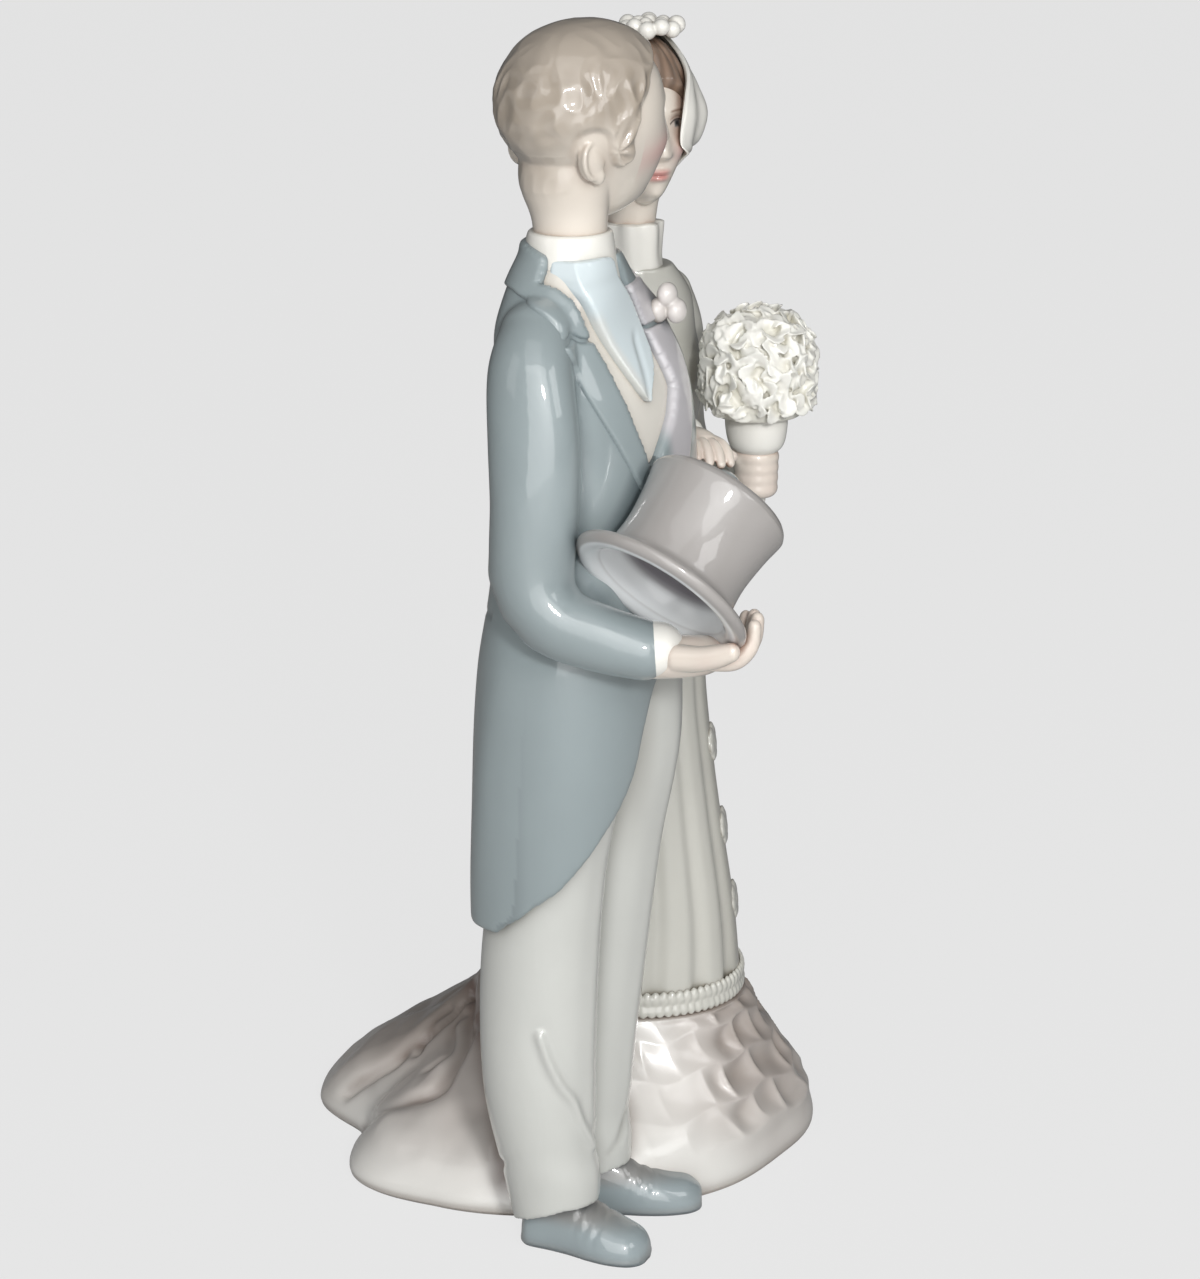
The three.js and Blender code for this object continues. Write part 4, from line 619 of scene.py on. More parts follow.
class PORCELAIN_OT_facings(PorcelainPiece, Operator):
    """Builds the coat collar and both notched lapels as turned cloth laid on the coat."""

    bl_idname = "porcelain.facings"
    bl_label = "Coat collar and lapels"

    RAISE = 0.55
    SINK = 0.5
    SOFT_EDGE = 0.24

    def facing(self, made, grain, raised):
        """The coat's own form, raised inside the facing's outline and sunk under the coat outside it."""
        made = fused(made, grain, 4)
        push(made, (self.RAISE + self.SINK) * raised(coords(made)) - self.SINK)
        return with_steps(made, [("SMOOTH", {"factor": 0.5, "iterations": 2})])

    def build(self):
        band = upright([[149, -2.2, 3.5, 9.3, 8.5], [153.6, -2.3, 3.5, 8.2, 7.5],
                        [156.6, -2.4, 3.5, 7.5, 7], [158.4, -2.5, 3.5, 7.2, 6.8]], 96, 40)
        form = fused(merged(coat_form(), limb(RIGHT_SLEEVE), limb(LEFT_SLEEVE), band), 0.45, 9)
        opening = slab([*RIGHT_EDGE, *LEFT_EDGE], -60, 4)
        seam = [(y, z - 0.5) for y, z in COLLAR_ZONE]
        soft = self.SOFT_EDGE

        def lapel(zone):
            return lambda p: within(p[:, [0, 2]], zone, soft) * (1 - within(p[:, 1:3], seam, soft))

        def part(left, right, low, high, back, *tools):
            box = slab([(left, low), (right, low), (right, high), (left, high)], -40, back)
            return cut(keep(form.copy(), box), *(tool.copy() for tool in (opening, *tools)))

        right = self.facing(part(-40, -1, 114, 152, 6), 0.3, lapel(RIGHT_LAPEL_ZONE))
        left = self.facing(part(-9, 40, 114, 153, 6), 0.3, lapel(LEFT_LAPEL_ZONE))
        collar = part(-40, 40, 143, 170, 40, slab(smooth_line(COLLAR_TOP, 80), -60, 60, "side"))
        collar = self.facing(collar, 0.26, lambda p: within(p[:, 1:3], COLLAR_ZONE, soft))
        material = glaze("facing glaze", (120, 132, 138), 0.002, 0.8, self.detail.body_roughness)
        coat = self.tone("coat")
        lilac = np.array(linear(208, 203, 206))
        for name, made, node in (
            ("right lapel", right, "groom_right_lapel"),
            ("left lapel", left, "groom_left_lapel"),
            ("coat collar", collar, "groom_coat_collar"),
        ):
            p = coords(made)
            far = ease(-2, 0.5, p[:, 0]) * ease(1, -2, p[:, 1])
            show(name, made, material, [node], blend(coat * 1.04, lilac, 0.8 * far))


class PORCELAIN_OT_waistcoat(PorcelainPiece, Operator):
    """Builds the waistcoat, the folded cravat and the stand collar of the shirt."""

    bl_idname = "porcelain.waistcoat"
    bl_label = "Waistcoat, cravat and shirt collar"

    def build(self):
        hem_share = 0.4
        vest = coat_form(-0.9, 64, start=hem_share)
        material = glaze("waistcoat glaze", (150, 132, 112), 0.002, 0.85)
        show("waistcoat", vest, material, ["groom_waistcoat"], self.tone("waistcoat"))

        outline = smooth_line([*CRAVAT, CRAVAT[0]], 60)[:-1]
        laid = keep(cut(coat_form(0.45), coat_form(-1.6)), slab(outline, -60, 3))
        cravat = fused(laid, 0.2, 8)
        p = coords(cravat)
        crease = bump(p[:, 0], -1.7 - 0.22 * (145 - p[:, 2]), 0.7) * ease(146, 143.4, p[:, 2])
        band = ease(151.6, 153.4, p[:, 2]) * bump(p[:, 2], 153.6 + 0.1 * p[:, 0], 1.2)
        push(cravat, 0.3 * bump(p[:, 2], 149, 5) - 0.26 * crease - 0.08 * band)
        material = glaze("cravat glaze", (140, 150, 156), 0.0016, 0.8)
        cream = ease(1.6, -0.6, p[:, 0] + 9.8 - 0.42 * (150 - p[:, 2])) * ease(150, 147, p[:, 2])
        # Painted shade: the cravat darker in its fold crease and along the groove of its band.
        tint = blend(self.tone("cravat"), self.tone("cravat") * 0.78, 0.6 * crease + 0.25 * band)
        tint = blend(tint, self.tone("waistcoat"), 0.6 * cream)
        show("cravat", cravat, material, ["groom_cravat"], tint)

        rows = [[152, -2.5, 3.4, 8, 7.2], [156, -2.5, 3.6, 7.1, 6.7], [158.6, -2.5, 3.6, 6.6, 6.3],
                [159.3, -2.5, 3.6, 6.2, 5.9], [159.4, -2.5, 3.6, 5.6, 5.3]]
        collar = upright(rows, 96, 40)
        material = glaze("linen glaze", (150, 148, 140), 0.002, 0.8)
        show("shirt collar", collar, material, ["groom_shirt_collar"], self.tone("linen"))


RIGHT_LEG = [
    [1.6, -11.5, 1.2, 6.3, 6.6],
    [12, -11.3, 2.8, 6.8, 7.7],
    [26, -10.8, 5, 7.8, 9],
    [44.16, -9.4, 5.7, 8.1, 9.3],
    [62, -8.7, 4.4, 8.2, 9.2],
    [78, -8.1, 2.2, 8.2, 9.8],
    [92, -8, 1.2, 8.4, 9.8],
    [102, -6.2, 0.4, 8, 9.6],
]
LEFT_LEG = [
    [1.6, 3.2, 2.8, 6.7, 7.2],
    [12, 3.1, 4.5, 6.8, 7.6],
    [26, 4.1, 5.2, 7.7, 8.4],
    [44.16, 5.9, 4.5, 8.5, 8.9],
    [62, 7.1, 3, 8.8, 9.4],
    [78, 7.8, 0.8, 8.6, 10],
    [92, 7.8, 0.6, 8.3, 9.8],
    [102, 6.2, 0.2, 8, 9.6],
]


class PORCELAIN_OT_trousers(PorcelainPiece, Operator):
    """Builds both trouser legs with their long crease and the break of the cloth over the shoes."""

    bl_idname = "porcelain.trousers"
    bl_label = "Trousers"

    RIDGE = [(-16.8, 1.7, 37.4), (-16.6, 0.5, 33.6), (-15.8, -1.2, 29.5), (-14.6, -2.8, 26.6),
             (-13.4, -4, 22.4), (-11, -4.6, 18)]
    FOLDS = [[(-9.4, -4.6, 21), (-7.6, -3.8, 16), (-8, -4, 12)],
             [(4.6, -3.6, 18.4), (1.7, -2.6, 14), (-0.2, -1.6, 11.6)],
             [(-17, 5, 17), (-15.5, 9, 14), (-12, 11, 12)]]

    def leg(self, rows):
        def fold(angle, t):
            front = np.maximum(0, -np.sin(angle))
            breaks = 0.3 * (bump(t, 0.15, 0.035) - bump(t, 0.2, 0.03)) * front
            crease = 0.34 * bump(angle, 1.5 * math.pi, 0.16) * ease(0.02, 0.3, t) * ease(1, 0.6, t)
            back = 0.3 * bump(angle, 0.5 * math.pi, 0.2) * ease(0.0, 0.2, t)
            drape = 0.14 * np.sin(2 * angle + 11 * t) * ease(0.2, 0.45, t)
            return breaks + crease + back + drape
        hem = [(60, 3.4), (9, 3.6), (5.5, 5.6), (-2, 8.4), (-60, 9), (-60, -10), (60, -10)]
        return cut(upright(rows, 96, 140, fold=fold), slab(hem, -60, 60, "side"))

    def build(self):
        material = glaze("trouser glaze", (128, 124, 114), 0.0042, 0.85)
        tone = self.tone("trousers")
        for name, rows in (("right", RIGHT_LEG), ("left", LEFT_LEG)):
            made = fused(self.leg(rows), 0.42, 3)
            p = coords(made)
            valley = sum(beside(p, line, 0.75) for line in self.FOLDS)
            soft = beside(p, self.RIDGE, 2.2)
            push(made, 0.8 * beside(p, self.RIDGE, 0.85) - 0.25 * soft - 0.5 * valley)
            # Painted shade: darker between the legs, at the top under the coat and in the fold valleys.
            between = ease(5.2, 0.6, np.abs(p[:, 0] + 0.4)) * ease(56, 88, p[:, 2])
            inner = between + 0.5 * ease(84, 97, p[:, 2])
            tint = blend(tone, tone * (0.5, 0.48, 0.45), 0.9 * inner + 0.4 * valley)
            show(name + " trouser leg", made, material, [f"groom_{name}_trouser_leg"], tint)


class PORCELAIN_OT_shoes(PorcelainPiece, Operator):
    """Builds both shoes with a sole edge and soft creases over the toes."""

    bl_idname = "porcelain.shoes"
    bl_label = "Shoes"

    ROWS = [[0, 0.16, 3.4], [0.03, 0.28, 6.2], [0.1, 0.4, 8.8], [0.28, 0.42, 10.4], [0.44, 0.45, 9.6],
            [0.6, 0.5, 7.4], [0.76, 0.5, 5.8], [0.9, 0.42, 4.8], [0.975, 0.27, 3.6], [1, 0.12, 2.8]]

    def shoe(self, x, y, point, length):
        width, sink = 9.6, 1.6
        levels, sides = 90, 80
        t = np.linspace(0, 1, levels)
        share, half, height = along(self.ROWS, 1 - (1 - t) ** 1.25).T[:, :, None]
        angle = np.arange(sides) / sides * TURN
        up = np.sin(angle)
        rise = 0.3 * height + np.where(up > 0, 0.7 * height, 0.3 * height + sink) * up
        out = np.sign(np.cos(angle)) * np.abs(np.cos(angle)) ** 0.8
        sole = 0.3 * np.exp(-(((rise - 0.6) / 0.5) ** 2))
        lines = sum(bump(share + 0.02 * np.cos(3 * angle), at, 0.02) for at in (0.5, 0.58, 0.66))
        crease = 0.22 * lines * np.maximum(0, up) ** 0.5
        across = -out * (half * width + sole - 0.5 * crease)
        spots = np.stack([across, np.broadcast_to(-share * length, across.shape), rise - crease], -1)
        made = bmesh.new()
        made.from_mesh(skin(spots))
        turn = Matrix.Rotation(math.radians(point), 3, "Z")
        bmesh.ops.rotate(made, verts=made.verts, cent=(0, 0, 0), matrix=turn)
        bmesh.ops.translate(made, verts=made.verts, vec=(x, y, 0))
        whole = [*made.verts, *made.edges, *made.faces]
        bmesh.ops.bisect_plane(made, geom=whole, plane_co=(0, 0, 0), plane_no=(0, 0, 1), clear_inner=True)
        rim = [edge for edge in made.edges if edge.is_boundary]
        bmesh.ops.edgeloop_fill(made, edges=rim)
        return to_mesh(made)

    def build(self):
        material = glaze("shoe glaze", (110, 120, 128), 0.002, 0.85, 0.36, 0.03)
        tone = self.tone("shoe")
        for name, place in (("right", (-11.3, 7.4, 3, 20.9)), ("left", (-0.8, 8.2, 30, 24))):
            made = self.shoe(*place)
            height = coords(made)[:, 2]
            # Painted reflection: a grey brown patch over the top of each shoe; the colour is also darker in a
            # band just above the sole.
            top_reflection_and_sole_band = 0.75 * ease(4.2, 7, height) + 0.35 * bump(height, 0.9, 0.5)
            tint = blend(tone, linear(134, 129, 124), top_reflection_and_sole_band)
            show(name + " shoe", made, material, [f"groom_{name}_shoe"], tint)


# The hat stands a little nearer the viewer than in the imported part, so that more of its rim shows. Its far
# side sinks up to about 2 mm into the coat's front.
HAT_MOUTH = Vector((-17.6, -18.1, 110.3))
HAT_CROWN_WAY = Vector((0.692, -0.238, 0.682))


class PORCELAIN_OT_hat(PorcelainPiece, Operator):
    """Builds the top hat: a thin curled brim and a hollow crown that widens at its top."""

    bl_idname = "porcelain.hat"
    bl_label = "Top hat"

    INSIDE = [(0.0, 16.5), (4, 16.4), (7.2, 16.1), (8.3, 15), (8.4, 12), (8.3, 7.7), (8.9, 4.2),
              (10, 2), (11, 0.7)]
    BRIM = [(11.9, 0.1), (12.9, 0), (13.7, 0.25), (14.15, 0.8), (14.2, 1.35), (13.8, 1.85),
            (12.8, 1.9), (11.8, 2.05), (10.9, 2.7), (10.2, 4.2)]
    CROWN = [(9.9, 8.2), (10.4, 13.2), (11, 16.4), (10.95, 17.2), (10.5, 17.9), (9.6, 18.25),
             (5, 18.5), (0.0, 18.6)]

    def build(self):
        profile = smooth_line([*self.INSIDE, *self.BRIM, *self.CROWN], 150)
        made = bmesh.new()
        line = [made.verts.new((max(r, 0), 0, z)) for r, z in profile]
        edges = [made.edges.new(pair) for pair in zip(line, line[1:])]
        bmesh.ops.spin(made, geom=[*line, *edges], cent=(0, 0, 0), axis=(0, 0, 1), dvec=(0, 0, 0),
                       angle=TURN, steps=144, use_merge=True)
        bmesh.ops.remove_doubles(made, verts=made.verts, dist=0.0005)
        hat = to_mesh(made)
        p = coords(hat)
        radius = np.hypot(p[:, 0], p[:, 1])
        depth = p[:, 2]
        mouth = ease(13.4, 12.9, radius) * ease(0.1, -0.1, depth - 1.1 - 2 * np.maximum(0, 10.6 - radius))
        inside = np.maximum(ease(9.4, 8.7, radius) * ease(17.4, 17.0, depth), mouth)
        band = bump(p[:, 2], 3.6, 0.5) * (radius > 9.6)
        push(hat, -0.12 * band)
        tone = self.tone("hat")
        # Painted light and shade: the brim's underside and the lower inside of the crown painted near white
        # as if lit, deeper inside the crown painted dark.
        tint = blend(tone, np.array(linear(240, 242, 243)), inside)
        tint = blend(tint, linear(104, 96, 104), 0.85 * inside * ease(3.6, 5.4, depth))
        tint = blend(tint, tone * 0.75, 0.5 * band)
        turn = Vector((0, 0, 1)).rotation_difference(HAT_CROWN_WAY.normalized()).to_matrix().to_4x4()
        turned(hat, Matrix.Translation(HAT_MOUTH) @ turn)
        material = glaze("hat glaze", (120, 112, 110), 0.0015, 0.4)
        show("top hat", hat, material, ["top_hat"], tint)


def digit(base, heading, bends, lengths, radii):
    rows = [[*base, radii[0]]]
    x, y, z = base
    lift = 0.0
    for i, length in enumerate(lengths):
        lift += math.radians(bends[i])
        x += length * math.cos(lift) * math.cos(math.radians(heading))
        y += length * math.cos(lift) * math.sin(math.radians(heading))
        z += length * math.sin(lift)
        rows.append([x, y, z, radii[i + 1]])
    return limb(rows, 20, 18, side=(0, 1, 0), cap=4)


def hand(size, bends, thumb, spread, mirror):
    """A left hand along +X with its palm facing +Z; mirror -1 makes it a right hand."""
    palm = [[-1.6, 0, 0, 2.2, 2.1], [1.6, 0.1, 0, 2.9, 2.1], [4.6, 0, 0, 3.3, 1.9], [6.4, 0, 0.2, 3.2, 1.5]]
    parts = [limb(palm, 40, 24, side=(0, 1, 0))]
    for k, long in enumerate((0.92, 1, 0.95, 0.78)):
        lengths = (3.1 * long, 2.5 * long, 2.1 * long)
        base = (5.6, (1.5 - k) * 1.72, 0.1)
        parts.append(digit(base, (1.5 - k) * spread, bends, lengths, (1.12, 1.1, 1.02, 0.88)))
    parts.append(digit((1.2, 2, 0.4), thumb[0], thumb[1], (2.9, 2.7, 2), (1.4, 1.3, 1.2, 1)))
    return turned(merged(*parts), Matrix.Diagonal((size, size * mirror, size, 1)))


def place_hand(made, wrist, aim, palm):
    z = (palm - aim * palm.dot(aim)).normalized()
    y = z.cross(aim)
    frame_of_hand = Matrix((aim, y, z)).transposed().to_4x4()
    return turned(made, Matrix.Translation(wrist) @ frame_of_hand)


def cuff(wrist, aim, radius, length):
    """A stiff cuff with a softened rim at each end, round the wrist."""
    rows = []
    for step, swell in ((-1, -0.05), (0, 0), (length * 0.5, 0), (length, -0.05)):
        rows.append([*(wrist + aim * step), radius + swell])
    return limb(rows, 56, 30, side=(0.3, 0.2, 1), cap=5)


def skin_tint(piece, mesh):
    """Skin colour with soft patches of warmth."""
    tone = piece.tone("skin")
    p = coords(mesh)
    warm = 0.5 + 0.5 * cloud(p, 3.0, 4)
    return blend(tone, blend(tone, piece.tone("blush"), 0.35), 0.35 * warm)


class PORCELAIN_OT_groom_hands(PorcelainPiece, Operator):
    """Builds the groom's hands and shirt cuffs: the right under the hat, the left across his waist."""

    bl_idname = "porcelain.groom_hands"
    bl_label = "Groom's hands and cuffs"

    def build(self):
        grain = self.detail.face_grain * 1000
        right_aim = Vector((0.45, -0.88, 0.06)).normalized()
        left_aim = Vector((-0.84, -0.52, -0.12)).normalized()
        right = turned(hand(1.18, (0, 34, 38), (24, (2, 8, 6)), 1, -1), Matrix.Diagonal((1, 1.1, 1.25, 1)))
        spot = RIGHT_WRIST + right_aim * 3.4 + Vector((0, 0, -1.3))
        right = place_hand(right, spot, right_aim, Vector((0, 0, 1)))
        left = hand(1, (4, 16, 22), (30, (20, 0, 0)), 4, 1)
        left = place_hand(left, LEFT_WRIST + left_aim * 3, left_aim, Vector((0.2, 1, 0.3)))
        material = glaze("hand glaze", (176, 140, 122), 0.0018, 0.9)
        linen = glaze("cuff glaze", (150, 148, 140), 0.002, 0.8)
        for name, made, wrist, aim, radius in (
            ("right", right, RIGHT_WRIST, right_aim, 4.1),
            ("left", left, LEFT_WRIST, left_aim, 3.7),
        ):
            made = fused(made, grain, 12)
            tint = skin_tint(self, made)
            show(f"groom {name} hand", made, material, [f"groom_{name}_hand"], tint)
            band = cuff(wrist, aim, radius, 2.2)
            show(f"groom {name} cuff", band, linen, [f"groom_{name}_cuff"], self.tone("linen"))


def face_relief(x, z):
    """How far the face stands out from a plain egg, in shares of the half height."""
    def spot(cx, cz, wide, high):
        return np.exp(-(((x - cx) / wide) ** 2) - ((z - cz) / high) ** 2)

    def pair(cx, cz, wide, high):
        return spot(cx, cz, wide, high) + spot(-cx, cz, wide, high)

    bridge = ease(-0.16, 0.3, -z) * (1 - ease(0.32, 0.42, -z))
    nose = 0.18 * bridge * np.exp(-((x / (0.07 + 0.06 * bridge)) ** 2))
    wings = 0.035 * pair(0.1, -0.33, 0.05, 0.05)
    eyes = 0.034 * pair(0.27, 0.04, 0.1, 0.05) - 0.075 * pair(0.27, 0.07, 0.15, 0.09)
    lids = 0.014 * pair(0.27, 0.085, 0.1, 0.018)
    brow = 0.022 * pair(0.27, 0.2, 0.16, 0.06)
    lips = 0.05 * spot(0, -0.53, 0.15, 0.035) + 0.055 * spot(0, -0.62, 0.13, 0.04)
    lips = lips - 0.03 * spot(0, -0.573, 0.16, 0.012)
    cheeks = 0.04 * pair(0.36, -0.26, 0.18, 0.16)
    chin = 0.07 * spot(0, -0.86, 0.2, 0.12)
    return nose + wings + eyes + lids + brow + lips + cheeks + chin


def head_form(size, sides=160, levels=120, face=True, fore=0.0):
    """A head about its own middle, looking along -Y. The skull is squarer than the jaw."""
    height, width, depth, squareness = size
    mesh = sphere(sides, levels)
    p = coords(mesh)
    power = (2 + squareness * ease(-0.2, 0.5, p[:, 2]))[:, None]
    p = p * (np.abs(p) ** power).sum(1, keepdims=True) ** (-1 / power)
    jaw = ease(-0.1, 1, -p[:, 2])
    wide = width * (1 - 0.34 * jaw)
    deep = depth * np.where(p[:, 1] < 0, 0.96 + fore, 1 - 0.42 * jaw)
    front = ease(0.15, 0.6, -p[:, 1]) * face
    proud = front * height * face_relief(p[:, 0] * wide / height, p[:, 2])
    spots = [p[:, 0] * wide, p[:, 1] * deep - proud - 0.14 * depth * jaw, p[:, 2] * height]
    set_coords(mesh, np.stack(spots, 1))
    return mesh


def head_place(x, y, z, yaw, pitch):
    turn = Matrix.Rotation(math.radians(yaw), 4, "Z") @ Matrix.Rotation(math.radians(pitch), 4, "X")
    return Matrix.Translation((x, y, z)) @ turn


def local(spots, place):
    """Spots seen from the head's own frame."""
    back = np.array(place.inverted())
    return spots @ back[:3, :3].T + back[:3, 3]


def above_line(p, line, soft):
    """1 behind and above a hairline drawn in the side view, 0 in front of it, with a soft edge."""
    line = np.array(smooth_line(line, 60))
    a, b = line[:-1], line[1:]
    q = p[:, None, 1:3]
    run = b - a
    f = np.clip(((q - a) * run).sum(2) / (run**2).sum(1), 0, 1)
    near = a + f[..., None] * run
    gap = q - near
    distance = np.hypot(gap[..., 0], gap[..., 1])
    best = distance.argmin(1)
    pick = np.arange(len(p))
    side = run[best, 0] * gap[pick, best, 1] - run[best, 1] * gap[pick, best, 0]
    signed = distance[pick, best] * np.where(side > 0, 1, -1)
    return ease(-soft, soft, signed)


def within(flat, outline, soft):
    """1 inside a closed smooth outline in a view, 0 outside it, with a soft edge."""
    line = np.array(smooth_line([*outline, outline[0]], 6 * len(outline)))
    a, run = line[:-1], line[1:] - line[:-1]
    q = flat[:, None]
    f = np.clip(((q - a) * run).sum(2) / (run**2).sum(1), 0, 1)
    distance = np.sqrt(((a + f[..., None] * run - q) ** 2).sum(2)).min(1)
    crossed = (a[:, 1] > q[..., 1]) != (a[:, 1] + run[:, 1] > q[..., 1])
    reach = a[:, 0] + (q[..., 1] - a[:, 1]) * run[:, 0] / np.where(run[:, 1] == 0, 1e-9, run[:, 1])
    inside = (crossed & (q[..., 0] < reach)).sum(1) % 2
    return ease(-soft, soft, distance * (2 * inside - 1))


def face_paint(piece, colours, p, size, lips):
    """Eyes, brows, lips and blush in soft overglaze colour, placed in shares of the head's half height."""
    height = size[0]
    x, z = np.abs(p[:, 0]) / height, p[:, 2] / height
    front = p[:, 1] < -0.35 * size[2]

    def spot(cx, cz, wide, high, power=2):
        return front * np.exp(-(np.abs((x - cx) / wide) ** power) - np.abs((z - cz) / high) ** power)

    colours = blend(colours, piece.tone("blush"), 0.62 * spot(0.4, -0.3, 0.2, 0.17))
    mouth = lips * spot(0, -0.575, 0.15, 0.075, 4)
    colours = blend(colours, piece.tone("blush") * (0.9, 0.66, 0.64), mouth)
    parting = 0.6 * front * bump(z, -0.574, 0.01) * bump(x, 0, 0.13)
    colours = blend(colours, linear(120, 70, 62), parting)
    arch = 0.215 - 1.1 * (x - 0.27) ** 2
    brow = 0.75 * front * bump(z, arch, 0.016) * ease(0.13, 0.18, x) * ease(0.44, 0.36, x)
    colours = blend(colours, linear(128, 100, 82), brow)
    white = spot(0.27, 0.05, 0.105, 0.045, 4)
    colours = blend(colours, linear(232, 230, 226), 0.8 * white)
    colours = blend(colours, linear(104, 116, 122), 0.95 * spot(0.262, 0.054, 0.046, 0.048, 6))
    colours = blend(colours, linear(30, 28, 30), spot(0.262, 0.056, 0.022, 0.024, 4))
    lid = 0.1 - 3.4 * (x - 0.27) ** 2
    lash = 0.92 * front * bump(z, lid, 0.013) * (np.abs(x - 0.27) < 0.125)
    colours = blend(colours, linear(66, 50, 44), lash)
    crease = 0.135 - 2.4 * (x - 0.27) ** 2
    fold = 0.5 * front * bump(z, crease, 0.01) * (np.abs(x - 0.27) < 0.12)
    colours = blend(colours, linear(176, 132, 116), fold)
    return colours


def refined(mesh, inside, cuts):
    """Splits the mesh finer where the test says so, for crisp painted details."""
    made = bmesh.new()
    made.from_mesh(mesh)
    edges = [edge for edge in made.edges if inside(edge.verts[0].co) and inside(edge.verts[1].co)]
    bmesh.ops.subdivide_edges(made, edges=edges, cuts=cuts, use_grid_fill=True)
    made.to_mesh(mesh)
    made.free()


def eye_zone(place, size):
    back = place.inverted()
    height = size[0]

    def inside(co):
        q = back @ co
        x, z = abs(q.x) / height, q.z / height
        eyes = 0.1 < x < 0.46 and -0.02 < z < 0.26
        mouth = x < 0.2 and -0.68 < z < -0.48
        return q.y < 0 and (eyes or mouth)

    return inside


GROOM_HEAD_SIZE = (14, 10.2, 11.9, 0.35)
GROOM_HEAD = (0.4, 3, 174.2, 64, -5)
BRIDE_HEAD_SIZE = (12.2, 7, 9, 0.0)
BRIDE_HEAD = (24.2, 5.5, 171, -43, -2)
GROOM_HAIRLINE = [(-18, 11), (-10, 10), (-7, 8.2), (-5, 5.4), (-2.9, 3.2), (-1.5, 0), (-1.3, -3.4),
                  (0.6, -4.4), (2.2, -2.4), (3, 0.6), (5.2, 1.4), (7.2, 0.4), (7.5, -3), (7, -6.2),
                  (9, -8), (20, -8.6)]
BRIDE_HAIRLINE = [(-14, 8), (-8.6, 7.2), (-5.4, 3.4), (-3.4, 0), (-1.4, -3.4), (2, -6), (6, -7.6),
                  (16, -8.4)]


